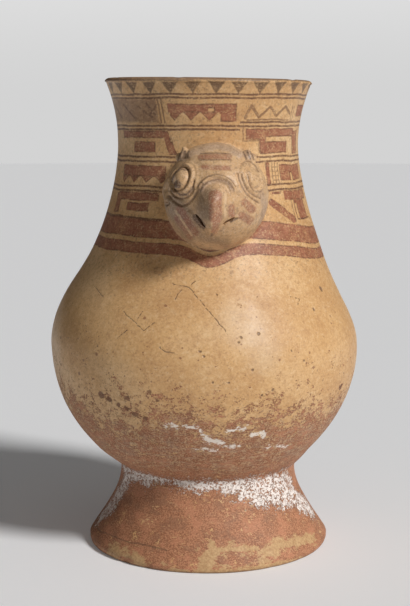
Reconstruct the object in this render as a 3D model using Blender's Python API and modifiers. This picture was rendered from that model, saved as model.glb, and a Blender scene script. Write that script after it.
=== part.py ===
"""A fired-clay footed vase with a bird's head modelled on the front of its neck.

The pot is one solid: a pear-shaped bowl on a flared, hollow ring foot, and a hollow head that
was luted to the neck before firing. Its walls keep a true thickness, the bowl and the foot are
open, and two slits beside the beak let into a small rattle chamber inside the head.

Metres, +Z up. The head looks along -Y, and the origin is on the table under the middle of the
pot's bounding box.
"""

import math

import bmesh
import bpy
from mathutils import Vector

# Heights of the pot's outline above the table.
HEIGHT = 0.300
NECK_HEIGHT = 0.2617
SHOULDER_HEIGHT = 0.1922
BELLY_HEIGHT = 0.1319
WAIST_HEIGHT = 0.0524
FOOT_EDGE_HEIGHT = 0.0043
BOWL_BOTTOM_HEIGHT = 0.034

# Outer radii at those heights.
RIM_RADIUS = 0.0660
NECK_RADIUS = 0.0576
SHOULDER_RADIUS = 0.0741
BELLY_RADIUS = 0.0994
WAIST_RADIUS = 0.0575
FOOT_EDGE_RADIUS = 0.0785
FOOT_TURN_RADIUS = 0.0780
FOOT_TURN_HEIGHT = 0.0011
FOOT_REST_RADIUS = 0.0765

# How fast the outer radius grows with height, where the outline isn't upright.
RIM_FLARE = 0.427
SHOULDER_SLOPE = -0.407
BOWL_SLOPE_AT_WAIST = 1.21
FOOT_SLOPE_AT_WAIST = 0.17
FOOT_SLOPE_AT_EDGE = -0.64

# Clay thicknesses.
BOWL_WALL = 0.0070
LIP_WALL = 0.0058
FOOT_WALL = 0.0070
LIP_ROUNDING = 0.0020
CORNER_ROUNDING = 0.0018

# The pot was built by hand: its bowl sits to the left of its foot, and its rim slopes.
BOWL_LEAN = 0.0025
SHOULDER_LEAN = 0.0019
SHOULDER_LEAN_REACH = 0.022
RIM_SLOPE = 0.0009

# The head. Its carving below is in head units, one unit being half its width.
HEAD_WIDTH = 0.062
HEAD_HEIGHT = 0.230
HEAD_STANDS_OUT = 0.0065
HEAD_SHIFT = 0.0045
HEAD_DEPTH_SHARE = 1.10
HEAD_FILLET = 0.004
CHAMBER_WIDTH = 0.029
CHAMBER_CLEARANCE = 0.004

EYE_CENTRES = {"left": (-0.66, 0.37, 0.72), "right": (0.70, 0.41, 0.66)}
EYE_STANDS_OUT = {"left": 0.11, "right": 0.04}
EYE_SIZE = (0.19, 0.23, 0.20)
LID_RADIUS = 0.28
LID_THICKNESS = 0.050
LID_BEDDING = {"left": 0.015, "right": 0.035}
BROW_FORWARD = 0.30
BROW_THICKNESS = 0.06
BROW_HALF_ANGLE = math.radians(34)
EAR_ANGLE = math.radians(39)
EAR_FORWARD = 0.16
EAR_SIZE = (0.13, 0.12, 0.13)
EAR_STANDS_OUT = 0.09
CERE_CENTRE = (0.0, 0.11, 1.09)
CERE_RADIUS = 0.34
CERE_THICKNESS = 0.045
CERE_HALF_ANGLE = math.radians(72)
BEAK_ROOT = (0.00, 0.32)
BEAK_TIP = (-0.11, -0.60)
BEAK_HALF_WIDTH = 0.36
BEAK_RISE = 0.30
BEAK_RIDGE_ROUNDING = 0.12
BEAK_EDGE_BLEND = 0.24
BEAK_TAPER = 0.60
BEAK_TAPER_FROM = 0.50
BEAK_RISES_OVER = (-0.10, 0.40)
BEAK_FALLS_OVER = (0.74, 1.16)
SLIT_ENDS = {"left": ((-0.47, -0.36), (-0.27, -0.57)), "right": ((0.40, -0.42), (0.19, -0.56))}
SLIT_WIDTH = {"left": 0.0024, "right": 0.0018}
SLIT_REACHES_IN = 0.35
SLIT_REACHES_OUT = 1.5

# Facets: how finely the turned pot and the head are cut.
TURNS = 48
OUTSIDE_STEPS = (8, 5, 4, 4)
INSIDE_STEPS = (5, 3, 3, 2)
UNDERSIDE_STEPS = 3
FOOT_STEPS = 6
HEAD_SEGMENTS = 52
HEAD_RINGS = 30
HEAD_RING_CROWDING = 1.5
CHAMBER_SEGMENTS = 16
CHAMBER_RINGS = 8
PELLET_SEGMENTS = 14
PELLET_RINGS = 8
ROLL_SIDES_RESOLUTION = 2
LID_STEPS = 16
BROW_STEPS = 12
CERE_STEPS = 10
SLIT_SIDES = 12
SHARP_ANGLE = math.radians(40)
SCREW_MERGE = 0.00005
WELD_DISTANCE = 0.00001

PART_NAME = "footed_vase"


def hermite(height, low, high):
    """Radius at a height on the smooth curve between two (height, radius, slope) stations."""
    span = high[0] - low[0]
    t = (height - low[0]) / span
    return (
        (2 * t**3 - 3 * t**2 + 1) * low[1]
        + (t**3 - 2 * t**2 + t) * span * low[2]
        + (3 * t**2 - 2 * t**3) * high[1]
        + (t**3 - t**2) * span * high[2]
    )


BOWL_STATIONS = (
    (WAIST_HEIGHT, WAIST_RADIUS, BOWL_SLOPE_AT_WAIST),
    (BELLY_HEIGHT, BELLY_RADIUS, 0.0),
    (SHOULDER_HEIGHT, SHOULDER_RADIUS, SHOULDER_SLOPE),
    (NECK_HEIGHT, NECK_RADIUS, 0.0),
    (HEIGHT, RIM_RADIUS, RIM_FLARE),
)
FOOT_STATIONS = (
    (FOOT_EDGE_HEIGHT, FOOT_EDGE_RADIUS, FOOT_SLOPE_AT_EDGE),
    (WAIST_HEIGHT, WAIST_RADIUS, FOOT_SLOPE_AT_WAIST),
)


def bowl_radius(height):
    """Outer radius of the bowl and neck at a height above the waist."""
    for low, high in zip(BOWL_STATIONS, BOWL_STATIONS[1:]):
        if height <= high[0]:
            return hermite(height, low, high)
    return RIM_RADIUS


def curve_between(low, high, steps):
    """Points (radius, height) up a smooth outline, without the last one."""
    heights = (low[0] + (high[0] - low[0]) * i / steps for i in range(steps))
    return [(hermite(z, low, high), z) for z in heights]


def bowl_underside():
    """Points along the bowl's outer bottom, from the axis out to the waist."""
    drop = WAIST_HEIGHT - BOWL_BOTTOM_HEIGHT
    shares = (i / UNDERSIDE_STEPS for i in range(UNDERSIDE_STEPS))
    return [(WAIST_RADIUS * s, BOWL_BOTTOM_HEIGHT + drop * s**2) for s in shares]


def bowl_side(steps_between):
    """Points up the bowl's and neck's outer face, from the waist to where the lip turns."""
    points = []
    for low, high, steps in zip(BOWL_STATIONS, BOWL_STATIONS[1:], steps_between):
        points += curve_between(low, high, steps)
    lip_base = HEIGHT - LIP_ROUNDING
    return points + [(bowl_radius(lip_base), lip_base)]


def offset_inwards(points, thickness_at):
    """The outline moved towards the inside of the pot by the clay's thickness."""
    moved = []
    for i, (radius, height) in enumerate(points):
        before = points[max(i - 1, 0)]
        after = points[min(i + 1, len(points) - 1)]
        along = Vector((after[0] - before[0], after[1] - before[1])).normalized()
        thickness = thickness_at(height)
        moved.append((max(radius - along.y * thickness, 0.0), height + along.x * thickness))
    return moved


def bowl_thickness(height):
    """Wall thickness of the bowl, which thins towards the lip above the neck."""
    share = (height - NECK_HEIGHT) / (HEIGHT - NECK_HEIGHT)
    return BOWL_WALL + (LIP_WALL - BOWL_WALL) * min(max(share, 0.0), 1.0)


def lip(inner_top, steps=6):
    """Points over the rounded lip, from the inner wall's top to the outer wall's top."""
    middle = (inner_top[0] + RIM_RADIUS) / 2
    half = (RIM_RADIUS - inner_top[0]) / 2
    angles = (math.pi * (1 - i / steps) for i in range(1, steps))
    base = HEIGHT - LIP_ROUNDING
    return [(middle + half * math.cos(a), base + LIP_ROUNDING * math.sin(a)) for a in angles]


def foot_hollow():
    """Points up the hollow foot's inner face and in over its ceiling to the axis."""
    wall = offset_inwards(curve_between(*FOOT_STATIONS, FOOT_STEPS), lambda height: FOOT_WALL)
    wall[0] = (FOOT_REST_RADIUS - FOOT_WALL, 0.0)
    ceiling = [p for p in bowl_underside() if p[0] < wall[-1][0]]
    wall = [p for p in wall if p[1] < ceiling[-1][1]]
    corner_radius = (wall[-1][0] + ceiling[-1][0]) / 2
    corner_height = (wall[-1][1] + ceiling[-1][1]) / 2 + CORNER_ROUNDING
    return wall + [(corner_radius, corner_height)] + ceiling[::-1]


def pot_outline():
    """The pot's section from the bowl's floor up, over the lip, and down to the foot's hollow."""
    inside = offset_inwards(bowl_underside() + bowl_side(INSIDE_STEPS), bowl_thickness)
    inside[0] = (0.0, BOWL_BOTTOM_HEIGHT + BOWL_WALL)
    inside[-1] = (inside[-1][0], HEIGHT - LIP_ROUNDING)
    outside = bowl_side(OUTSIDE_STEPS)
    foot = curve_between(*FOOT_STATIONS, FOOT_STEPS)
    foot_edge = [(FOOT_TURN_RADIUS, FOOT_TURN_HEIGHT), (FOOT_REST_RADIUS, 0.0)]
    return inside + lip(inside[-1]) + outside[::-1] + foot[::-1] + foot_edge + foot_hollow()


def turned(name, outline, collection):
    """An object whose outline is turned about the Z axis by a Screw modifier."""
    mesh = bpy.data.meshes.new(name)
    edges = [(i, i + 1) for i in range(len(outline) - 1)]
    mesh.from_pydata([(radius, 0.0, height) for radius, height in outline], edges, [])
    obj = bpy.data.objects.new(name, mesh)
    collection.objects.link(obj)
    screw = obj.modifiers.new("turn", "SCREW")
    screw.axis = "Z"
    screw.steps = TURNS
    screw.render_steps = TURNS
    screw.use_merge_vertices = True
    screw.merge_threshold = SCREW_MERGE
    return obj


def smooth_step(value, low, high):
    """0 below low, 1 above high, and a smooth rise between them."""
    t = min(max((value - low) / (high - low), 0.0), 1.0)
    return t * t * (3 - 2 * t)


def hand_built(point):
    """Moves a point of the true turned shape to where the hand-built pot has it."""
    height = point.z
    bowl = smooth_step(height, WAIST_HEIGHT, WAIST_HEIGHT + 2 * BOWL_WALL)
    neck = smooth_step(height, BELLY_HEIGHT, (SHOULDER_HEIGHT + NECK_HEIGHT) / 2)
    bulge_height = (BELLY_HEIGHT + SHOULDER_HEIGHT) / 2
    bulge = math.exp(-(((height - bulge_height) / SHOULDER_LEAN_REACH) ** 2))
    lean = BOWL_LEAN * bowl * (1 - neck) + SHOULDER_LEAN * bulge
    slope = RIM_SLOPE * smooth_step(height, SHOULDER_HEIGHT, HEIGHT)
    return Vector((point.x - lean, point.y, height - slope * point.x / RIM_RADIUS))


def on_head(direction):
    """The point of the plain head's ellipsoid in a direction, in head units."""
    u, v, w = direction
    return Vector(direction) / math.sqrt(u**2 + v**2 + (w / HEAD_DEPTH_SHARE) ** 2)


def out_of_head(point):
    """The direction straight out of the plain head's ellipsoid at one of its points."""
    return Vector((point.x, point.y, point.z / HEAD_DEPTH_SHARE**2)).normalized()


def beak_relief(point):
    """How far the ridged beak stands out at a point of the plain head."""
    if point.z < 0:
        return 0.0
    share = (BEAK_ROOT[1] - point.y) / (BEAK_ROOT[1] - BEAK_TIP[1])
    ridge = BEAK_ROOT[0] + (BEAK_TIP[0] - BEAK_ROOT[0]) * share
    half_width = BEAK_HALF_WIDTH * (1 - BEAK_TAPER * smooth_step(share, BEAK_TAPER_FROM, 1.0))
    beside = math.hypot((point.x - ridge) / half_width, BEAK_RIDGE_ROUNDING)
    length = smooth_step(share, *BEAK_RISES_OVER) * (1 - smooth_step(share, *BEAK_FALLS_OVER))
    inside = 1 - beside
    if abs(inside) < BEAK_EDGE_BLEND:
        inside = (inside + BEAK_EDGE_BLEND) ** 2 / (4 * BEAK_EDGE_BLEND)
    return BEAK_RISE * length * max(inside, 0.0)


def head_point(direction):
    """The point of the head with its beak in a direction, in head units."""
    plain = on_head(direction)
    return plain + out_of_head(plain) * beak_relief(plain)


def round_on_head(centre, radius, angle):
    """A point of the head at a radius and an angle round another of its points."""
    out = out_of_head(on_head(centre))
    right = Vector((0.0, 1.0, 0.0)).cross(out).normalized()
    up = out.cross(right)
    return on_head(on_head(centre) + (right * math.sin(angle) + up * math.cos(angle)) * radius)


def head_centre():
    """Where the head's middle is, on the front of the neck."""
    forward = bowl_radius(HEAD_HEIGHT) + HEAD_STANDS_OUT
    return Vector((HEAD_SHIFT, -forward, HEAD_HEIGHT))


def to_pot(local):
    """A point of the head from head units (right, up, forward) to the pot's own frame."""
    half = HEAD_WIDTH / 2
    return head_centre() + Vector((local.x * half, -local.z * half, local.y * half))


def keep_outside(point, gap):
    """Moves a point straight outwards until it is gap away from the neck's outer face."""
    least = bowl_radius(point.z) + gap
    distance = math.hypot(point.x, point.y)
    if distance >= least:
        return point
    grown = least / distance
    return Vector((point.x * grown, point.y * grown, point.z))


def fillet_to_neck(point):
    """Spreads the head's side where it meets the neck, as clay smoothed over a join."""
    gap = math.hypot(point.x, point.y) - bowl_radius(point.z)
    near = min(max(1 - gap / HEAD_FILLET, 0.0), 1.0)
    centre = head_centre()
    sideways = Vector((point.x - centre.x, 0.0, point.z - centre.z))
    if sideways.length < HEAD_WIDTH / 4:
        return point
    return point + sideways.normalized() * (HEAD_FILLET / 2) * near**2


def ball(name, segments, rings, place, collection):
    """A UV sphere with its pole forwards, whose every vertex is put where place says."""
    mesh = bpy.data.meshes.new(name)
    shape = bmesh.new()
    bmesh.ops.create_uvsphere(shape, u_segments=segments, v_segments=rings, radius=1.0)
    for vertex in shape.verts:
        vertex.co = place(vertex.co.copy())
    bmesh.ops.recalc_face_normals(shape, faces=shape.faces)
    shape.to_mesh(mesh)
    shape.free()
    obj = bpy.data.objects.new(name, mesh)
    collection.objects.link(obj)
    return obj


def crowd_forward(direction):
    """Turns a direction of the unit sphere forwards, so that more of its rings face the front."""
    tilt = math.acos(min(max(direction.z, -1.0), 1.0)) / math.pi
    crowded = math.pi * tilt**HEAD_RING_CROWDING
    around = math.atan2(direction.y, direction.x)
    sideways = math.sin(crowded)
    return Vector((sideways * math.cos(around), sideways * math.sin(around), math.cos(crowded)))


def place_on_head(direction):
    """Where a vertex of the unit sphere goes on the head, bedded into the neck's wall."""
    carved = fillet_to_neck(to_pot(head_point(crowd_forward(direction))))
    return hand_built(keep_outside(carved, -BOWL_WALL / 2))


def place_in_chamber(direction):
    """Where a vertex of the unit sphere goes on the rattle chamber's wall."""
    carved = to_pot(Vector(direction) * (CHAMBER_WIDTH / HEAD_WIDTH))
    return hand_built(keep_outside(carved, CHAMBER_CLEARANCE))


def pellet(name, centre, size, stands_out, collection):
    """An oval pellet of clay pressed onto the head, standing out by a share of head units."""
    root = on_head(centre)
    out = out_of_head(root)
    right = Vector((0.0, 1.0, 0.0)).cross(out).normalized()
    up = out.cross(right)
    middle = root + out * (stands_out - size[2])

    def place(direction):
        local = right * direction.x * size[0] + up * direction.y * size[1]
        return hand_built(to_pot(middle + local + out * direction.z * size[2]))

    return ball(name, PELLET_SEGMENTS, PELLET_RINGS, place, collection)


def clay_roll(name, points, thickness, closed, collection):
    """A thin roll of clay laid along points of the head, given in head units."""
    curve = bpy.data.curves.new(name, "CURVE")
    curve.dimensions = "3D"
    curve.bevel_depth = thickness * HEAD_WIDTH / 2
    curve.bevel_resolution = ROLL_SIDES_RESOLUTION
    curve.use_fill_caps = True
    spline = curve.splines.new("POLY")
    spline.points.add(len(points) - 1)
    spline.use_cyclic_u = closed
    for knot, point in zip(spline.points, points):
        knot.co = (*hand_built(to_pot(point)), 1.0)
    obj = bpy.data.objects.new(name, curve)
    collection.objects.link(obj)
    roll = plain_mesh(obj, name, collection)
    shape = bmesh.new()
    shape.from_mesh(roll.data)
    bmesh.ops.remove_doubles(shape, verts=shape.verts, dist=WELD_DISTANCE)
    shape.to_mesh(roll.data)
    shape.free()
    return roll


def eye(side, collection):
    """The eyeball and the lid round it on one side of the head."""
    centre = EYE_CENTRES[side]
    yield pellet(f"{side}_eyeball", centre, EYE_SIZE, EYE_STANDS_OUT[side], collection)
    angles = (math.tau * i / LID_STEPS for i in range(LID_STEPS))
    ring = [round_on_head(centre, LID_RADIUS, angle) for angle in angles]
    lowered = [point - out_of_head(point) * LID_BEDDING[side] for point in ring]
    yield clay_roll(f"{side}_eyelid", lowered, LID_THICKNESS, True, collection)


def ear(side, sign, collection):
    """The pellet at one end of the brow."""
    centre = (sign * math.sin(EAR_ANGLE), math.cos(EAR_ANGLE), EAR_FORWARD)
    return pellet(f"{side}_ear", centre, EAR_SIZE, EAR_STANDS_OUT, collection)


def brow(collection):
    """The roll of clay over the forehead, between the ears."""
    points = []
    for i in range(BROW_STEPS + 1):
        angle = BROW_HALF_ANGLE * (2 * i / BROW_STEPS - 1)
        points.append(on_head((math.sin(angle), math.cos(angle), BROW_FORWARD)))
    return clay_roll("brow", points, BROW_THICKNESS, False, collection)


def cere(collection):
    """The arched roll of clay over the beak's root."""
    points = []
    for i in range(CERE_STEPS + 1):
        angle = CERE_HALF_ANGLE * (2 * i / CERE_STEPS - 1)
        points.append(round_on_head(CERE_CENTRE, CERE_RADIUS, angle))
    return clay_roll("cere", points, CERE_THICKNESS, False, collection)


def slit(name, side, collection):
    """A cutter for one slit beside the beak: a flat bar with round ends, into the chamber."""
    (start_x, start_y), (end_x, end_y) = SLIT_ENDS[side]
    middle = Vector(((start_x + end_x) / 2, (start_y + end_y) / 2, 0.0))
    inner = to_pot(middle * SLIT_REACHES_IN)
    outer = to_pot(middle + Vector((0.0, 0.0, SLIT_REACHES_OUT)))
    length = math.hypot(end_x - start_x, end_y - start_y) * HEAD_WIDTH / 2
    shape = bmesh.new()
    bmesh.ops.create_cone(
        shape,
        cap_ends=True,
        segments=SLIT_SIDES,
        radius1=0.5,
        radius2=0.5,
        depth=(outer - inner).length,
    )
    for vertex in shape.verts:
        vertex.co.x *= length
        vertex.co.y *= SLIT_WIDTH[side]
    mesh = bpy.data.meshes.new(name)
    shape.to_mesh(mesh)
    shape.free()
    obj = bpy.data.objects.new(name, mesh)
    along = Vector((end_x - start_x, 0.0, end_y - start_y)).normalized()
    inwards = (inner - outer).normalized()
    across = inwards.cross(along).normalized()
    along = across.cross(inwards)
    for vertex in mesh.vertices:
        x, y, z = vertex.co
        vertex.co = (inner + outer) / 2 + along * x + across * y + inwards * z
    collection.objects.link(obj)
    return obj


def plain_mesh(obj, name, collection):
    """The object as its modifiers leave it, as a new plain mesh object."""
    view = bpy.context.evaluated_depsgraph_get()
    mesh = bpy.data.meshes.new_from_object(obj.evaluated_get(view))
    mesh.transform(obj.matrix_world)
    mesh.name = name
    new = bpy.data.objects.new(name, mesh)
    collection.objects.link(new)
    bpy.data.objects.remove(obj)
    return new


def boolean(target, tool, operation):
    """Joins the tool to the target or cuts it out, and marks the tool as a helper."""
    modifier = target.modifiers.new(tool.name, "BOOLEAN")
    modifier.operation = operation
    modifier.object = tool
    tool.hide_render = True
    tool.display_type = "WIRE"


def centre_on_table(obj):
    """Moves the mesh so that the origin is under the middle of its bounding box."""
    corners = [Vector(corner) for corner in obj.bound_box]
    low = Vector(min(c[i] for c in corners) for i in range(3))
    high = Vector(max(c[i] for c in corners) for i in range(3))
    for vertex in obj.data.vertices:
        vertex.co -= Vector(((low.x + high.x) / 2, (low.y + high.y) / 2, low.z))


def fired_clay():
    """The pot's one material: a matt buff slip on fired clay."""
    material = bpy.data.materials.new("slipped_earthenware")
    material.use_nodes = True
    shader = material.node_tree.nodes["Principled BSDF"]
    shader.inputs["Base Color"].default_value = (0.45, 0.26, 0.13, 1.0)
    shader.inputs["Roughness"].default_value = 0.62
    shader.inputs["Metallic"].default_value = 0.0
    return material


def make_collection(name):
    """A new collection in the scene."""
    collection = bpy.data.collections.new(name)
    bpy.context.scene.collection.children.link(collection)
    return collection


def main():
    """Builds the pot."""
    for obj in list(bpy.data.objects):
        bpy.data.objects.remove(obj)
    parts = make_collection(PART_NAME)
    cutters = make_collection("cutters")

    pot = plain_mesh(turned("turned_pot", pot_outline(), cutters), "pot_body", parts)
    for vertex in pot.data.vertices:
        vertex.co = hand_built(vertex.co)
    head = ball("bird_head", HEAD_SEGMENTS, HEAD_RINGS, place_on_head, cutters)
    added = [head, brow(cutters), cere(cutters)]
    for side, sign in (("left", -1), ("right", 1)):
        added += [*eye(side, cutters), ear(side, sign, cutters)]
    for clay in added:
        boolean(pot, clay, "UNION")
    chamber = ball("rattle_chamber", CHAMBER_SEGMENTS, CHAMBER_RINGS, place_in_chamber, cutters)
    boolean(pot, chamber, "DIFFERENCE")
    for side in SLIT_ENDS:
        boolean(pot, slit(f"slit_{side}", side, cutters), "DIFFERENCE")

    vase = plain_mesh(pot, PART_NAME, parts)
    centre_on_table(vase)
    vase.data.materials.clear()
    vase.data.materials.append(fired_clay())
    vase.data.shade_smooth()
    vase.data.set_sharp_from_angle(angle=SHARP_ANGLE)


main()
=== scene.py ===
"""Looks of the footed vase: its painted neck, modelled bird's head, burnished bowl and limed foot."""

import logging
import math
from dataclasses import dataclass, field
from enum import Enum
from typing import Callable, Iterable, Sequence

import bmesh
import bpy
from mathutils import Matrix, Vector, noise

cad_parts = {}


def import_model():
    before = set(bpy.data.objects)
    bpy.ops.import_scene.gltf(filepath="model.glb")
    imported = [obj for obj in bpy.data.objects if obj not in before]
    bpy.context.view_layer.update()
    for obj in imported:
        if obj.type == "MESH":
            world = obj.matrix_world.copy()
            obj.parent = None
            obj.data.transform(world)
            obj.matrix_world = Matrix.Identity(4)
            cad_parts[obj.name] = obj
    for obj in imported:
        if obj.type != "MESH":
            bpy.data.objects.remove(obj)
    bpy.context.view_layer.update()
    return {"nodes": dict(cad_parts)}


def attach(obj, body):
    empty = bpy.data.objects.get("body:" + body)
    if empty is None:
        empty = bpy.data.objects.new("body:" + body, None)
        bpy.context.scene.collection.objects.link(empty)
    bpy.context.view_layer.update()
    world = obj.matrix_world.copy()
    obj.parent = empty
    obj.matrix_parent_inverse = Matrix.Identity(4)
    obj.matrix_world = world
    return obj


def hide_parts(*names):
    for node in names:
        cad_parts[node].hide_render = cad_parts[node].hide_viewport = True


LOG = logging.getLogger("footed_vase")
NODE = "footed_vase"
BODY = "root"
MM = 1000.0
HALF_TURN = 180.0
GROWS_NEARER = 0.039
DROPS_NEARER = 0.064

Socket = bpy.types.NodeSocket
Outputs = bpy.types.NodeOutputs
Tree = bpy.types.NodeTree
Link = Socket | float | Sequence[float]
Pair = tuple[float, float]
Colour = tuple[float, float, float]


class Skin(Enum):
    """The finishes that the pot's faces are shared out to, in the order of their slots."""

    NECK = 0
    BOWL = 1
    FOOT = 2
    HEAD = 3
    INSIDE = 4


class Side(Enum):
    """The two sides of the bird's head, as someone who faces it sees them."""

    LEFT = "left"
    RIGHT = "right"


def rounded(*places: Pair) -> tuple[Pair, ...]:
    """A path whose corners are cut, so that it bends smoothly."""
    cut = [places[0]]
    for start, end in zip(places, places[1:]):
        for share in (0.25, 0.75):
            cut.append(tuple(a * (1 - share) + b * share for a, b in zip(start, end)))
    return (*cut, places[-1])


def smooth_step(value: float, low: float, high: float) -> float:
    """0 below low, 1 above high, and a smooth rise between them."""
    share = min(max((value - low) / (high - low), 0.0), 1.0)
    return share * share * (3 - 2 * share)


def bell(distance: float, width: float) -> float:
    """A smooth hump that is 1 at distance 0 and dies away past the width."""
    return math.exp(-((distance / width) ** 2))


def hump(distance: float, half_width: float) -> float:
    """A rounded ridge that is 1 at distance 0 and ends at its half width."""
    share = distance / half_width
    return max(1 - share * share, 0.0) ** 1.5


@dataclass(frozen=True)
class Station:
    """One place on the pot's outline, in metres, with the radius's growth with height."""

    height: float
    radius: float
    slope: float = 0.0


def between(height: float, low: Station, high: Station) -> float:
    """The radius on the smooth curve between two stations.

    Args:
        height: where on the curve, in metres above the table.
        low: the lower station.
        high: the upper station.

    Returns:
        The outer radius in metres.
    """
    span = high.height - low.height
    t = (height - low.height) / span
    return (
        (2 * t**3 - 3 * t**2 + 1) * low.radius
        + (t**3 - 2 * t**2 + t) * span * low.slope
        + (3 * t**2 - 2 * t**3) * high.radius
        + (t**3 - t**2) * span * high.slope
    )


@dataclass(frozen=True)
class Outline:
    """The pot's section, its clay's thickness, and the lean that the hand gave it."""

    foot_edge: Station = Station(0.0043, 0.0785, -0.64)
    foot_waist: Station = Station(0.0524, 0.0575, 0.17)
    waist: Station = Station(0.0524, 0.0575, 1.21)
    belly: Station = Station(0.1319, 0.0994)
    shoulder: Station = Station(0.1922, 0.0741, -0.407)
    neck: Station = Station(0.2617, 0.0576)
    rim: Station = Station(0.300, 0.0660, 0.427)
    foot_turn: tuple[Pair, ...] = ((0.0785, 0.0027), (0.0780, 0.0011), (0.0773, 0.0003), (0.0765, 0.0))
    bowl_bottom: float = 0.034
    wall: float = 0.0070
    lip_wall: float = 0.0058
    lip_rounding: float = 0.0029
    corner_rounding: float = 0.0018
    bowl_lean: float = 0.0025
    shoulder_lean: float = 0.0019
    shoulder_lean_reach: float = 0.022
    rim_slope: float = 0.0009
    floor_steps: int = 9
    lip_steps: int = 10

    @property
    def bowl(self) -> tuple[Station, ...]:
        """The stations from the waist up to the rim."""
        return (self.waist, self.belly, self.shoulder, self.neck, self.rim)

    def radius(self, height: float) -> float:
        """The outer radius of the foot, bowl or neck at a height."""
        if height <= self.waist.height:
            return between(max(height, self.foot_edge.height), self.foot_edge, self.foot_waist)
        for low, high in zip(self.bowl, self.bowl[1:]):
            if height <= high.height:
                return between(height, low, high)
        return self.rim.radius

    def lean_at(self, height: float) -> float:
        """How far the hand-built pot leans to the left at a height."""
        bowl = smooth_step(height, self.waist.height, self.waist.height + 2 * self.wall)
        neck = smooth_step(height, self.belly.height, (self.shoulder.height + self.neck.height) / 2)
        bulge = height - (self.belly.height + self.shoulder.height) / 2
        shoulder = self.shoulder_lean * bell(bulge, self.shoulder_lean_reach)
        return self.bowl_lean * bowl * (1 - neck) + shoulder

    def hand_built(self, point: Vector) -> Vector:
        """Moves a point of the true turned shape to where the hand-built pot has it."""
        slope = self.rim_slope * smooth_step(point.z, self.shoulder.height, self.rim.height)
        drop = slope * point.x / self.rim.radius
        return Vector((point.x - self.lean_at(point.z), point.y, point.z - drop))

    def climb(self, low: Station, high: Station, gap: float) -> list[Vector]:
        """Points (radius, height) up the curve between two stations, without the last one."""
        steps = max(2, round((high.height - low.height) / gap))
        heights = (low.height + (high.height - low.height) * i / steps for i in range(steps))
        return [Vector((between(z, low, high), z)) for z in heights]

    def underside(self) -> list[Vector]:
        """Points along the bowl's outer bottom, from the axis out to the waist."""
        drop = self.waist.height - self.bowl_bottom
        shares = (i / self.floor_steps for i in range(self.floor_steps))
        return [Vector((self.waist.radius * s, self.bowl_bottom + drop * s**2)) for s in shares]

    def side(self, gap: float) -> list[Vector]:
        """Points up the bowl's outer face, from the waist to where the lip turns."""
        points: list[Vector] = []
        for low, high in zip(self.bowl, self.bowl[1:]):
            points += self.climb(low, high, gap)
        top = self.rim.height - self.lip_rounding
        return [p for p in points if p.y < top - gap / 3] + [Vector((self.radius(top), top))]

    def bowl_wall(self, height: float) -> float:
        """The bowl's thickness, which thins towards the lip above the neck."""
        share = (height - self.neck.height) / (self.rim.height - self.neck.height)
        return self.wall + (self.lip_wall - self.wall) * min(max(share, 0.0), 1.0)

    @staticmethod
    def inwards(points: Sequence[Vector], thickness: Callable[[float], float]) -> list[Vector]:
        """The outline moved towards the inside of the pot by the clay's thickness."""
        moved = []
        for i, point in enumerate(points):
            along = (points[min(i + 1, len(points) - 1)] - points[max(i - 1, 0)]).normalized()
            wall = thickness(point.y)
            moved.append(Vector((max(point.x - along.y * wall, 0.0), point.y + along.x * wall)))
        return moved

    def lip(self, inner_top: Vector) -> list[Vector]:
        """Points over the rounded lip, from the inner wall's top to the outer wall's top."""
        middle = (inner_top.x + self.rim.radius) / 2
        half = (self.rim.radius - inner_top.x) / 2
        base = self.rim.height - self.lip_rounding
        angles = (math.pi * (1 - i / self.lip_steps) for i in range(1, self.lip_steps))
        return [
            Vector((middle + half * math.cos(a), base + self.lip_rounding * math.sin(a))) for a in angles
        ]

    def foot_hollow(self, gap: float) -> list[Vector]:
        """Points up the hollow foot's inner face and in over its ceiling to the axis."""
        wall = self.inwards(self.climb(self.foot_edge, self.foot_waist, gap), lambda height: self.wall)
        wall[0] = Vector((self.foot_turn[-1][0] - self.wall, 0.0))
        ceiling = [p for p in self.underside() if p.x < wall[-1].x]
        wall = [p for p in wall if p.y < ceiling[-1].y]
        corner = (wall[-1] + ceiling[-1]) / 2 + Vector((0.0, self.corner_rounding))
        return wall + [corner] + ceiling[::-1]

    def section(self, outer_gap: float, inner_gap: float) -> list[Vector]:
        """The whole section, from the bowl's floor over the lip and the foot to its hollow.

        Args:
            outer_gap: how far apart the points are on the outside, in metres of height.
            inner_gap: the same for the inside of the bowl and of the foot.

        Returns:
            Points (radius, height) in order, from the axis back to the axis.
        """
        inside = self.inwards(self.underside() + self.side(inner_gap), self.bowl_wall)
        inside[0] = Vector((0.0, self.bowl_bottom + self.wall))
        inside[-1] = Vector((inside[-1].x, self.rim.height - self.lip_rounding))
        foot = self.climb(self.foot_edge, self.foot_waist, outer_gap)
        turn = [Vector(pair) for pair in self.foot_turn]
        outside = self.side(outer_gap)[::-1] + foot[::-1] + turn
        return inside + self.lip(inside[-1]) + outside + self.foot_hollow(inner_gap)


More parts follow.
